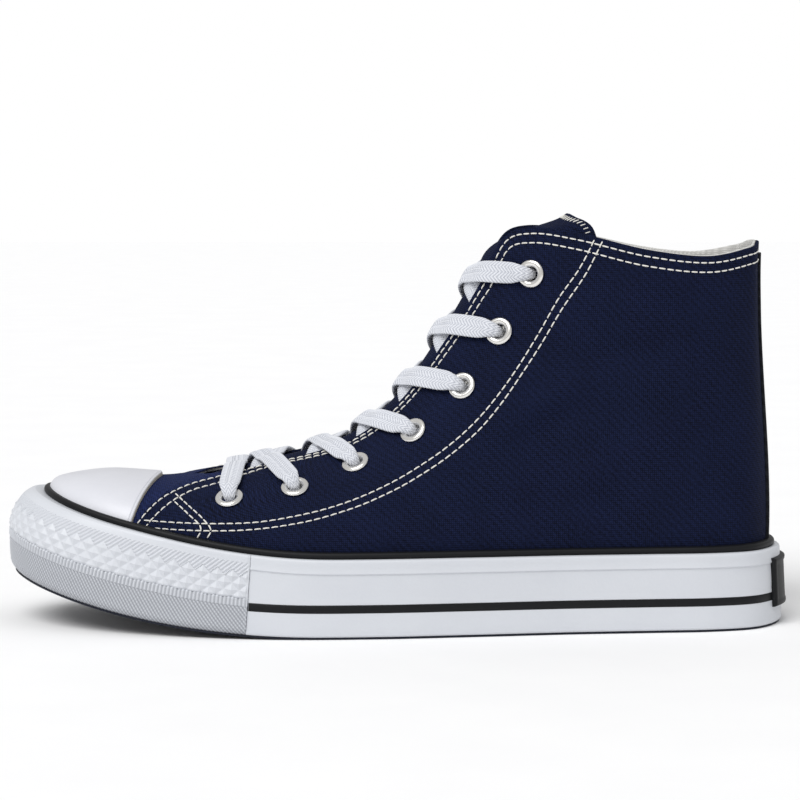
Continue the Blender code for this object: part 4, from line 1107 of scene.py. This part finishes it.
def make_lining():
    us = vamp_rows(HEEL, 2.1 * MM)
    v, inward, rise = edge_columns(WALL_HEIGHTS[::2], 0.0, LINING_FACE, 0.25 * MM)

    def lowered(side, u, v):
        """Heights on the lining: along the throat it ends a little lower than the canvas."""
        tall = np.linalg.norm(last_point(side, u, 1.0) - last_point(side, u, 0.0), axis=-1)
        share = THROAT_STEP / tall * eased((u - place("vamp_end")) / THROAT_EASE)
        share = share * (1 - eased((u - CORNER_START) / CORNER_RUN))
        return np.where(v > 0, v * (1 - share), v)

    def face(side, u, v):
        offset = LINING_FACE - inward[None]
        return skin(side, u, lowered(side, u, v), offset, rise[None] * eased(u - RIM_START))

    def back(side, u, v):
        return skin(side, u, lowered(side, u, v), inward[None], rise[None] * eased(u - RIM_START))

    front_rows, back_rows = both_sides(us, v, face)[:-1], both_sides(us, v, back)[:-1]
    joined = [(one, two) for one, two in ridge_rows(us) if two < len(front_rows)]
    middles = (front_rows + np.roll(front_rows, -1, 0))[:, 1:] / 2
    kept = clear_of_eyelets(middles, OUTER, 1.2 * MM) & clear_of_eyelets(middles, INNER, 1.2 * MM)
    points, faces = grid_faces(front_rows, back_rows, kept=kept, wrap=True, joined=joined)
    cloth = np.stack([front_rows[..., 0] + front_rows[..., 1], front_rows[..., 2]], -1) / MM
    add_piece("lining_cotton", points, faces, lining_cloth, cloth=cloth, sharp=60)


make_lining()

# %% [markdown]
# ## The toe cap
# A rubber cap is glued over the front of the vamp. Its surface is plain and slightly glossier than the
# sidewall. Its back edge is a narrow bead with a fine groove in front of it, and the cut edge is cream.

# %% Toe cap
CAP_FACE = VAMP_WALL + FIT_GAP + CAP_WALL
CUT_EDGE = 2.9 * MM  # how near the cap's rear line a face counts as its cut edge


def make_toe_cap():
    rear = place("cap_rear")
    pace = float(np.linalg.norm(last_point(OUTER, rear, 0.5) - last_point(OUTER, rear - 0.1, 0.5)) / 0.1)
    fine = rear - np.array([0, .12, .3, .55, .8, .95, 1.1, 1.25, 1.4, 1.6, 1.8, 2.1]) * MM / pace
    us = even_sections(0.0, rear - 2.6 * MM / pace, 1.5 * MM)
    us = np.concatenate([us, fine[::-1]])
    v = np.concatenate([[-0.12, -0.06], np.linspace(0, 1, 60)])

    def face(side, u, v):
        from_edge = np.linalg.norm(last_point(side, u, v) - last_point(side, rear, v), axis=-1)
        rounding = 0.9 * MM * (1 - np.sqrt(np.clip(1 - (1 - from_edge / (0.7 * MM)).clip(0) ** 2, 0, 1)))
        groove = 0.35 * MM * np.exp(-(((from_edge - 1.15 * MM) / (0.22 * MM)) ** 2))
        return skin(side, u, v, CAP_FACE - rounding - groove)

    front = both_sides(us, v, face)
    back = both_sides(us, v, lambda side, u, v: skin(side, u, v, VAMP_WALL + 0.05 * MM))
    points, faces = grid_faces(front, back, joined=ridge_rows(us))
    cap = add_piece("toe_cap_rubber", points, faces, cap_rubber, ["toe_cap"], sharp=50)
    cap.data.materials.append(cream_rubber)
    rear_line = np.concatenate([last_point(side, rear, v) for side in SIDES.values()]) + SHIFT
    for polygon in cap.data.polygons:
        near = np.linalg.norm(rear_line - np.array(polygon.center), axis=1).min()
        if near < CUT_EDGE:
            polygon.material_index = 1


make_toe_cap()

# %% [markdown]
# ## The heel stay
# A strip of black webbing covers the seam up the back of the heel. It is a thin wall over both quarters, with
# soft edges. One grid runs from the outer side over the heel's line to the inner side.

# %% Heel stay
STAY_SECTIONS = 1.0
STAY_ROWS = 31
STAY_MIDDLE = STAY_ROWS // 2


def make_heel_stay():
    spread = np.linspace(-STAY_SECTIONS, STAY_SECTIONS, STAY_ROWS)
    v = np.linspace(0.012, 1 - STAY_DROP / (SHAFT_HEIGHT - SIDEWALL_HEIGHT), 110)
    edge = np.minimum(1 - np.abs(spread) / STAY_SECTIONS, 1)[:, None]
    face = QUARTER_WALL + 0.1 * MM + STAY_WALL * np.sqrt(np.clip(1 - (1 - edge / 0.08).clip(0) ** 2, 0.1, 1))

    def rows(offset):
        cut = STAY_MIDDLE + 1
        outer = skin(OUTER, (HEEL + spread[:cut])[:, None], v[None], offset[:cut])
        inner = skin(INNER, (HEEL - spread[cut:])[:, None], v[None], offset[cut:])
        return np.concatenate([outer, inner])

    front = rows(np.broadcast_to(face, (STAY_ROWS, len(v))))
    back = rows(np.full((STAY_ROWS, len(v)), QUARTER_WALL - 0.1 * MM))
    points, faces = grid_faces(front, back)
    add_piece("heel_stay_webbing", points, faces, webbing, ["heel_stay"],
              cloth=cloth_map(front, STAY_MIDDLE), sharp=60)


make_heel_stay()

# %% [markdown]
# ## The tongue
# The tongue lies under both flaps, bulges a little between them, and stands over the collar with a rounded
# top. It is canvas outside and lining inside. Its shape is first set out as a few rows of points, and a
# smooth grid is then run through them.

# %% Tongue
TONGUE_LONG, TONGUE_WIDE = 170, 54  # rows and columns of its grid
TONGUE_EDGE = 1.2 * MM  # width of its rounded edge, and of the columns there
TONGUE_TOP = (  # back, up, keep, trail, fall
    (0.026, 0.034, 1.04, 0.000, 0.000),
    (0.060, 0.058, 1.08, 0.010, 0.000),
    (0.088, 0.077, 1.08, 0.020, 0.010),
    (0.104, 0.096, 1.00, 0.026, 0.042),
)


def throat_out(u):
    """The direction straight out of the throat at a section."""
    run = last_point(OUTER, u + 0.1, 1.0) - last_point(OUTER, u - 0.1, 1.0)
    return unit(np.array([-run[2], 0.0, run[0]]))


def tongue_point(u, share):
    """A point of the tongue's back between the flaps, share 0 at the outer one and 1 at the inner one."""
    outer, inner = [last_point(side, u, 1.0) - directions(side, u, 1.0)[0] * (TONGUE_WALL + TONGUE_GAP)
                    for side in SIDES.values()]
    start, full = place("throat_base"), place("throat_low")
    crown = TONGUE_BULGE * eased((u - start) / (full - start)) * (1 - (2 * share - 1) ** 2)
    return outer + (inner - outer) * share + throat_out(u) * crown


def tongue_row(u):
    laps = {}
    for side in SIDES.values():
        length = float(np.linalg.norm(last_point(side, u, 1.0) - last_point(side, u, 0.0)))
        lap = TONGUE_LAP / length
        laps[side] = [last_point(side, u, 1 - lap * part) - directions(side, u, 1 - lap * part)[0]
                      * (TONGUE_WALL + TONGUE_GAP) for part in (0.5, 1.0)]
    return laps[OUTER][::-1] + [tongue_point(u, i / 4) for i in range(5)] + laps[INNER]


def tongue_top(last_row, back, up, keep, trail, fall):
    """The tongue's last row moved up and back, its sides trailing and falling."""
    centre = last_row.mean(axis=0)
    aside = ((last_row[:, 1] - centre[1]) / np.abs(last_row[:, 1] - centre[1]).max()) ** 2
    return np.stack([last_row[:, 0] + (back + trail * aside) * SOLE_LENGTH,
                     centre[1] + (last_row[:, 1] - centre[1]) * keep,
                     last_row[:, 2] + (up - fall * aside) * SHAFT_HEIGHT], -1)


def grid_normals(grid):
    return unit(np.cross(np.gradient(grid, axis=0), np.gradient(grid, axis=1)))


def make_tongue():
    start, end = place("cap_rear") + 0.5, place("corner") - 0.5
    rows = [np.array(tongue_row(u)) for u in np.linspace(start, end, 19)]
    rows += [tongue_top(rows[-1], *shape) for shape in TONGUE_TOP]
    coarse = np.array(rows)
    long_way = smooth(np.arange(len(coarse)), coarse, np.linspace(0, len(coarse) - 1, TONGUE_LONG))
    across = long_way.transpose(1, 0, 2)
    across = smooth(np.arange(9), across, np.linspace(0, 8, TONGUE_WIDE)).transpose(1, 0, 2)
    out = grid_normals(across)
    centre = TONGUE_WIDE // 2
    if (out[:, centre] * throat_out(10.0)).sum() < 0:
        out = -out
    run = walked(across[:, centre])
    columns = np.arange(TONGUE_WIDE)
    edge = np.minimum(columns, TONGUE_WIDE - 1 - columns)[None] * TONGUE_EDGE
    nearest = np.minimum(edge, (run[-1] - run)[:, None])
    rounding = np.sqrt(np.clip(1 - (1 - nearest / TONGUE_EDGE).clip(0) ** 2, 0.05, 1))
    half = TONGUE_WALL / 2 * rounding
    front = across + out * (TONGUE_WALL / 2 + half)[..., None]
    back = across + out * (TONGUE_WALL / 2 - half)[..., None]
    cloth = np.stack(np.meshgrid(np.linspace(-30, 30, TONGUE_WIDE), run / MM), -1)
    points, faces = grid_faces(front, back)
    tongue = add_piece("tongue_canvas", points, faces, canvas, ["tongue"], cloth=cloth,
                       sharp=60)
    tongue.data.materials.append(lining_cloth)
    count = (TONGUE_LONG - 1) * (TONGUE_WIDE - 1)
    for i in range(count, 2 * count):
        tongue.data.polygons[i].material_index = 1
    return front, out


tongue_front, tongue_out = make_tongue()

# %% [markdown]
# ## The eyelets
# An eyelet is a turned brass ring, set from outside: a domed flange, a throat that rolls inwards, and a barrel
# that is spread over the lining. One profile is turned about its axis, and each hole gets a ring of its own.

# %% Eyelets
EYELET_SIDES = 48
EYELET_PROFILE = (  # radius and height over the canvas, in millimetres
    (2.55, -2.7), (3.9, -2.85), (4.0, -2.6), (2.95, -2.4), (2.95, 0.05), (4.9, 0.0), (5.3, 0.15), (5.35, 0.45),
    (5.15, 0.85), (4.7, 1.15), (4.2, 1.25), (3.7, 1.2), (3.2, 1.0), (2.85, 0.6), (2.7, 0.0), (2.6, -1.2),
)


def make_eyelets():
    profile = np.array(EYELET_PROFILE) * MM
    turn = np.linspace(0, 2 * math.pi, EYELET_SIDES, endpoint=False)[:, None]
    rings = np.stack([profile[:, 0] * np.cos(turn), profile[:, 0] * np.sin(turn),
                      np.broadcast_to(profile[:, 1], (EYELET_SIDES, len(profile)))], -1)
    for label, side in SIDES.items():
        for i, (centre, out) in enumerate(zip(*EYELETS[side])):
            turned = np.array(Vector(out).to_track_quat("Z", "Y").to_matrix())
            placed = rings @ turned.T + centre
            add_piece(f"eyelet_ring_{label}_{i + 1}", placed, tube_faces(placed, True), nickel,
                      [f"eyelet_{label}_{i + 1}"], sharp=50)


make_eyelets()

# %% [markdown]
# ## The lace
# A flat braided lace, 8.5 mm wide, starts as a bar over the lowest pair. Every later strand comes out from
# under one flap, crosses the tongue and the other flap's edge, and dives into the next eyelet from outside.
# Near the eyelet the braid gathers and curls, because it is wider than the hole. Its chevrons are low ridges
# in the mesh, and the material paints the same chevrons, with painted shade in the gaps between the yarns.

# %% Where the strands run
LACE_WIDTH = 8.5 * MM
LACE_THICK = 1.5 * MM
BRAID_RIDGE = 0.18 * MM


def throat_walk():
    """Places up the throat, and how far along its edge each of them lies."""
    places = np.linspace(place("throat_base"), place("corner") - 0.5, 200)
    return places, walked(last_point(OUTER, places, 1.0))


WALK = throat_walk()


def throat_foot(side, row):
    """How far up the throat an eyelet lies, and how far from its edge."""
    edge = last_point(side, WALK[0], 1.0)
    away = np.linalg.norm(edge - EYELETS[side][0][row], axis=1)
    return WALK[1][away.argmin()], away.min()


def strand_spots(side, row, from_row, lift):
    """Spots of one strand as (point, outward direction, width share), from under the other flap."""
    other = -side
    end_walk, end_edge = throat_foot(side, row)
    start_walk, start_edge = throat_foot(other, from_row)

    def place_at(share):
        return float(np.interp(start_walk + (end_walk - start_walk) * share, WALK[1], WALK[0]))

    wide = np.linalg.norm(last_point(side, place_at(0.5), 1.0) - last_point(other, place_at(0.5), 1.0))
    full = start_edge + wide + end_edge
    leave, arrive = start_edge / full, 1 - end_edge / full
    spots = []
    centre, out = [value[from_row] for value in EYELETS[other]]
    u = place_at(leave)
    under_edge = last_point(other, u, 1.0) - directions(other, u, 1.0)[0] * LACE_THICK * 0.7
    inside = centre - out * (QUARTER_WALL + LACE_THICK * 0.7)
    spots.append((inside, out, 0.8))
    spots.append((inside * 0.45 + under_edge * 0.55, out, 0.95))
    spots.append((under_edge, directions(other, u, 1.0)[0], 1.0))
    for part in (0.3, 0.5, 0.72):
        share = leave + (arrive - leave) * part
        u = place_at(share)
        over = throat_out(u)
        across = 1 - part if side == OUTER else part
        hump = lift * math.sin(math.pi * part) ** 2
        point = tongue_point(u, across) + over * (TONGUE_WALL + LACE_THICK * 0.75 + hump)
        spots.append((point, over, 1.0))
    u = place_at(arrive)
    over = unit(directions(side, u, 1.0)[0] + throat_out(u))
    edge = skin(side, u, 1.0, QUARTER_WALL) + over * (LACE_THICK * 0.9)
    centre, out = [value[row] for value in EYELETS[side]]
    spots.append((edge, over, 1.0))
    towards = edge - centre
    towards = unit(towards - out * (towards @ out))
    for near, high, facing, wide in (  # millimetres beside and over the hole's centre
        (8.5, LACE_THICK / MM * 0.9, out, 0.95),
        (4.2, LACE_THICK / MM * 0.5 + 1.5, unit(out + towards * 0.1), 0.78),
        (1.6, 0.8, unit(out - towards * 0.8), 0.58),
        (1.1, -1.2, unit(-towards + out * 0.2), 0.5),
        (1.2, -3.2, unit(-towards), 0.5),
    ):
        spots.append((centre + towards * near * MM + out * high * MM, facing, wide))
    return spots


# %% The braid itself
def lace_rings(spots):
    """Rings of a flat braid through the spots, its edges curling where it is narrow."""
    points = np.array([spot[0] for spot in spots])
    outs = np.array([spot[1] for spot in spots])
    widths = np.array([spot[2] for spot in spots])
    steps = np.arange(len(spots))
    coarse = np.linspace(0, steps[-1], 600)
    far = walked(smooth(steps, points, coarse))
    along = np.linspace(0, far[-1], int(far[-1] / (0.35 * MM)))
    at = np.interp(along, far, coarse)
    centre = smooth(steps, points, at)
    ahead = unit(np.gradient(centre, axis=0))
    sideways = unit(np.cross(ahead, smooth(steps, outs, at)))
    thick = unit(np.cross(sideways, ahead))
    share = smooth(steps, widths, at)[:, None]
    turn = np.linspace(0, 2 * math.pi, 36, endpoint=False)[None]
    flat = np.sign(np.cos(turn)) * np.abs(np.cos(turn)) ** 0.75
    x = flat * LACE_WIDTH / 2 * share
    arch = (1 - share) * 1.9 * MM * (1 - flat**2)
    across = np.broadcast_to(flat * LACE_WIDTH / 2 / MM, (len(along), turn.shape[1]))
    slant = BRAID_COLUMN - np.abs((across / BRAID_COLUMN) % 2 - 1) * BRAID_COLUMN
    chevron = -np.cos(2 * math.pi * (along[:, None] / MM + slant) / BRAID_PITCH)
    ridge = BRAID_RIDGE * chevron * np.abs(np.sin(turn)) ** 0.5
    half = LACE_THICK / 2 * (1 + 0.35 * (1 - share))
    z = np.sign(np.sin(turn)) * (np.abs(np.sin(turn)) ** 0.55 * half + ridge)
    rings = centre[:, None] + sideways[:, None] * x[..., None] + thick[:, None] * (z + arch)[..., None]
    return rings, np.stack([np.broadcast_to(along[:, None] / MM, across.shape), across], -1)


def add_lace(name, strands, replaced):
    points, cloth, faces, start = [], [], [], 0
    for spots in strands:
        rings, flat = lace_rings(spots)
        faces += [[corner + start for corner in face] for face in tube_faces(rings, False)]
        points.append(rings.reshape(-1, 3))
        cloth.append(flat.reshape(-1, 2))
        start += len(points[-1])
    add_piece(name, np.concatenate(points), faces, braid, replaced, np.concatenate(cloth),
              sharp=70)


def bar_spots():
    """The lowest strand: over one flap, across and over the other, into both eyelets."""
    far = strand_spots(INNER, 0, 0, 0.0)
    near = strand_spots(OUTER, 0, 0, 0.0)
    return near[:5:-1] + near[4:5] + far[6:]


add_lace("lace_bar_braid", [bar_spots()], ["lace_bar"])
for row in range(1, EYELET_COUNT):
    strands = [strand_spots(INNER, row, row - 1, 0.1 * MM), strand_spots(OUTER, row, row - 1, 2.2 * MM)]
    add_lace(f"lace_crossing_braid_{row}", strands, [f"lace_crossing_{row}"])

# %% [markdown]
# ## Stitching
# The panels are sewn with double rows of thick thread. A stitch is a short rounded bar that dips into the
# cloth at both ends. A seam is drawn as a curve on the shoe's side view, in millimetres, and thrown level onto
# the canvas, once from each side. The rows along the throat and the collar are measured from the edge instead.
# Thousands of small bars would be slow as objects, so a side's seams are one mesh.

# %% Curves thrown onto the canvas
STITCH_PITCH = 3.2 * MM
STITCH_LENGTH = 2.75 * MM
THREAD = 0.29 * MM  # half its thickness
THREAD_SIDES = 6


def side_surface(side):
    """The face of one side's canvas, for rays to hit."""
    u = even_sections(0.0, HEEL, 2.0 * MM)
    grid = skin(side, u[:, None], np.linspace(0, 1, 90)[None], QUARTER_WALL)
    index = np.arange(len(u) * 90).reshape(len(u), 90)
    quads = np.stack([index[:-1, :-1], index[1:, :-1], index[1:, 1:], index[:-1, 1:]], -1).reshape(-1, 4)
    return BVHTree.FromPolygons(grid.reshape(-1, 3).tolist(), quads.tolist())


SURFACES = {side: side_surface(side) for side in SIDES.values()}


def thrown(side, spots, apart=0.5 * MM):
    """Points and outward directions where a curve of the side view, x and z, meets the canvas."""
    spots = np.array(spots, float) * MM - SHIFT[[0, 2]]
    stations = walked(spots)
    points, outs = [], []
    for x, z in smooth(stations, spots, np.linspace(0, stations[-1], int(stations[-1] / apart))):
        hit, facing, _, _ = SURFACES[side].ray_cast(Vector((x, side, z)), Vector((0, -side, 0)))
        if hit is not None:
            points.append(hit)
            outs.append(facing if facing.y * side > 0 else -facing)
    return np.array(points), np.array(outs)


def under_edge(side, start, end, distances):
    """Points and outward directions this far in from the top edge; distances are (section, millimetres)."""
    u = np.linspace(start, end, 400)
    edge = last_point(side, u, 1.0)
    down = (last_point(side, u, 0.95) - edge) / 0.05
    ahead = unit(np.gradient(edge, axis=0))
    reach = np.linalg.norm(down - (down * ahead).sum(-1, keepdims=True) * ahead, axis=-1)
    v = 1 - np.interp(u, *np.array(distances).T) * MM / reach
    return skin(side, u, v, QUARTER_WALL), directions(side, u, v)[0]


def followed(*runs):
    """Runs of (points, outward directions) joined to one smooth row."""
    points = np.concatenate([run[0] for run in runs])
    outs = np.concatenate([run[1] for run in runs])
    keep = np.concatenate([[True], np.linalg.norm(np.diff(points, axis=0), axis=1) > 0.05 * MM])
    points, outs = points[keep], outs[keep]
    stations = walked(points)
    even = np.linspace(0, stations[-1], int(stations[-1] / (0.5 * MM)))
    return smooth(stations, points, even), unit(smooth(stations, outs, even))


# %% Stitches
STITCH_STATIONS = np.array([0.0, 0.14, 0.5, 0.86, 1.0])
STITCH_WIDTHS = np.array([0.45, 0.9, 1.0, 0.9, 0.45])
STITCH_LIFTS = np.array([-0.25, 0.12, 0.24, 0.12, -0.25]) * MM


def stitch_mesh(points, outs, length):
    """Points and faces of a row of stitches along a row of points."""
    far = walked(points)
    starts = np.arange(0.4 * MM, far[-1] - length, STITCH_PITCH)
    at = starts[:, None] + STITCH_STATIONS[None] * length
    centre = np.stack([np.interp(at, far, points[:, k]) for k in range(3)], -1)
    out = unit(np.stack([np.interp(at, far, outs[:, k]) for k in range(3)], -1))
    ahead = unit(np.gradient(centre, axis=1))
    beside_it = unit(np.cross(ahead, out))
    centre = centre + out * STITCH_LIFTS[None, :, None]
    turn = np.linspace(0, 2 * math.pi, THREAD_SIDES, endpoint=False)[:, None]
    radius = (THREAD * STITCH_WIDTHS)[None, :, None, None]
    ring = beside_it[:, :, None] * np.cos(turn) + out[:, :, None] * np.sin(turn)
    rings = centre[:, :, None] + ring * radius
    one = tube_faces(rings[0], False)
    size = len(STITCH_STATIONS) * THREAD_SIDES
    faces = [[corner + i * size for corner in face] for i in range(len(rings)) for face in one]
    return rings.reshape(-1, 3), faces


def add_stitches(name, rows, length=STITCH_LENGTH):
    """One object from rows of stitches, each row a pair of points and outward directions."""
    all_points, all_faces, start = [], [], 0
    for points, outs in rows:
        made, faces = stitch_mesh(points, outs, length)
        all_faces += [[corner + start for corner in face] for face in faces]
        all_points.append(made)
        start += len(made)
    add_piece(name, np.concatenate(all_points), all_faces, thread, sharp=80)
    print("rows in mm:", [round(walked(points)[-1] / MM) for points, _ in rows])


# %% Seams of the quarters
STAY_UPPER = ((74, 148.5), (71.5, 143), (68, 136.2), (60.8, 125.5), (53.4, 112.3), (45.9, 100.2), (38.4, 89.6),
              (30.9, 80.6), (23.4, 73.4), (15.9, 67.5), (8.5, 62.6), (1, 58.1), (-6.4, 54.4), (-13.9, 51.2),
              (-21.3, 48.6), (-28.7, 46.5), (-36.1, 44.8), (-43.5, 43.4), (-50.9, 42.4), (-65.9, 41.6),
              (-81, 41.6), (-97.5, 42.2))
STAY_LOWER = ((76.8, 147.5), (74.7, 143), (71.3, 136), (61.2, 120.2), (53.5, 107), (45.9, 95.5), (38.4, 85),
              (30.9, 76.2), (23.4, 69.5), (15.9, 63.9), (8.5, 59.2), (1, 54.9), (-6.4, 51.4), (-13.9, 48.3),
              (-21.3, 45.9), (-28.7, 43.8), (-43.5, 40.9), (-58.3, 39.4), (-65.8, 39.1), (-80.9, 39.1),
              (-98.5, 39.8))
FRONT_OUTER = ((-97.7, 39.9), (-95.2, 43.3), (-91.8, 46.9), (-89.4, 48.9), (-84.4, 51.7), (-81.1, 53.1),
               (-76.7, 54.5), (-69.3, 56.2))
FRONT_INNER = ((-94.8, 38.5), (-92.2, 41.9), (-89.6, 44.6), (-84.9, 48.4), (-81.8, 50.2), (-78.2, 51.9),
               (-69, 54.4))
CROSS_FIRST = ((-83.8, 51.3), (-77.5, 47), (-72.3, 43.1), (-69.2, 39.4), (-71.7, 34.7))
CROSS_SECOND = ((-83.8, 48.8), (-78.1, 44.7), (-72.9, 39.6), (-75.1, 34.9))
OUTER_ROW = ((7.3, 1.6), (10, 1.8), (13, 2.2), (19, 2.4))  # section, millimetres in from the edge
INNER_ROW = ((7.3, 3.4), (10, 4.2), (13, 5.7), (19, 5.9))
THROAT_ROW_START = 7.3

for label, side in SIDES.items():
    used = slice(None, None if side == OUTER else -1)  # the inner side is flatter and meets its row sooner
    rows = []
    for front, distances in ((FRONT_OUTER, OUTER_ROW), (FRONT_INNER, INNER_ROW)):
        edge_row = under_edge(side, THROAT_ROW_START, place("stay_edge"), distances)
        rows.append(followed(thrown(side, front[used]), edge_row))
    rows += [thrown(side, seam) for seam in (STAY_UPPER, STAY_LOWER, CROSS_FIRST, CROSS_SECOND)]
    add_stitches(f"quarter_stitches_{label}", rows)


# %% [markdown]
# The tongue's top edge is overlocked: short thread bars lie side by side over the edge, each leaning a little.
# They are the same stitches, only longer, and each one runs back from the edge on the tongue's own grid.

# %% Edge of the tongue
OVERLOCK_LENGTH = 4.4 * MM
OVERLOCK_LEAN = 1.2  # columns of the tongue's grid


def overlock(first, last, count):
    """Short slanted stitches over the tongue's top edge, between two columns of its grid."""
    rows = []
    columns = np.arange(TONGUE_WIDE)
    far = walked(tongue_front[:, TONGUE_WIDE // 2])
    deep = [int(np.searchsorted(far, far[-1] - part * OVERLOCK_LENGTH)) for part in (2.4, 1.2)]
    for column in np.linspace(first, last, count):
        at = ((deep[0], column - OVERLOCK_LEAN), (deep[1], column), (-1, column + OVERLOCK_LEAN))
        points, outs = [
            np.array([[np.interp(spot, columns, grid[row, :, k]) for k in range(3)] for row, spot in at])
            for grid in (tongue_front, tongue_out)
        ]
        stations = walked(points)
        even = np.linspace(stations[-1] - OVERLOCK_LENGTH - 0.45 * MM, stations[-1], 10)
        rows.append((smooth(stations, points, even), unit(smooth(stations, outs, even))))
    return rows


add_stitches("tongue_stitches", overlock(3, TONGUE_WIDE - 6, 36), OVERLOCK_LENGTH)

# %% [markdown]
# ## Light, floor and camera
# The photo is a studio shot on white, with soft light from all round and a little more from above and in front.
# A bright surround and one wide, soft key give the same flat look, and an even light on all of the floor. The
# camera stands far away with a long lens, slightly above the shoe, as in the photo.

# %% Stage
floor_paint, floor_tree, floor_shader = new_material("white_studio_paper")
spot = in_millimetres(floor_tree)
grain = add(floor_tree, "ShaderNodeTexNoise", {"Vector": spot, "Scale": 0.02, "Detail": 3.0}).outputs["Fac"]
tones = {"Factor": grain, 6: linear("#f6f6f7"), 7: linear("#fbfbfb")}
tone = add(floor_tree, "ShaderNodeMix", tones, data_type="RGBA")
floor_tree.links.new(tone.outputs[2], floor_shader.inputs["Base Color"])
set_sockets(floor_shader, {"Roughness": 0.9})
sheet = bmesh.new()
bmesh.ops.create_grid(sheet, x_segments=4, y_segments=4, size=6.0)
floor_mesh = bpy.data.meshes.new("floor")
sheet.to_mesh(floor_mesh)
sheet.free()
floor_mesh.materials.append(floor_paint)
floor = bpy.data.objects.new("floor", floor_mesh)
floor.location.z = -0.1 * MM
bpy.context.scene.collection.objects.link(floor)


def soft_key(name, towards, strength, spread):
    """A wide light from far away, so that it falls evenly on the floor."""
    lamp = bpy.data.lights.new(name, "SUN")
    lamp.energy = strength
    lamp.angle = math.radians(spread)
    made = bpy.data.objects.new(name, lamp)
    made.location = -Vector(towards)
    made.rotation_euler = Vector(towards).to_track_quat("-Z", "Y").to_euler()
    bpy.context.scene.collection.objects.link(made)


SURROUND = 0.58  # brightness that lights the shoe
BACKDROP = 1.0  # brightness that the camera sees behind it
soft_key("key_above", (0.45, 0.75, -1.1), 2.0, 40)
world = bpy.data.worlds.new("studio_surround")
world.use_nodes = True
sky = world.node_tree
seen = add(sky, "ShaderNodeLightPath").outputs["Is Camera Ray"]
strength = add(sky, "ShaderNodeMix", {"Factor": seen, 2: SURROUND, 3: BACKDROP}).outputs[0]
sky.links.new(strength, sky.nodes["Background"].inputs["Strength"])
sky.nodes["Background"].inputs["Color"].default_value = linear("#ffffff")
bpy.context.scene.world = world
bpy.context.scene.view_settings.view_transform = "Standard"

# %% Camera
CAMERA_PLACE = (1, -1070, 171)  # millimetres
CAMERA_PITCH = 4.62  # degrees below the level
PHOTO_WIDTH = 800  # pixels
PIXEL_LENS = 2793  # focal length in pixels of the photo
camera_data = bpy.data.cameras.new("camera")
camera_data.lens = PIXEL_LENS / PHOTO_WIDTH * camera_data.sensor_width
camera_data.clip_start = 0.05
camera = bpy.data.objects.new("camera", camera_data)
camera.location = Vector(CAMERA_PLACE) * MM
camera.rotation_euler = (math.radians(90 - CAMERA_PITCH), 0, 0)
bpy.context.scene.collection.objects.link(camera)
bpy.context.scene.camera = camera
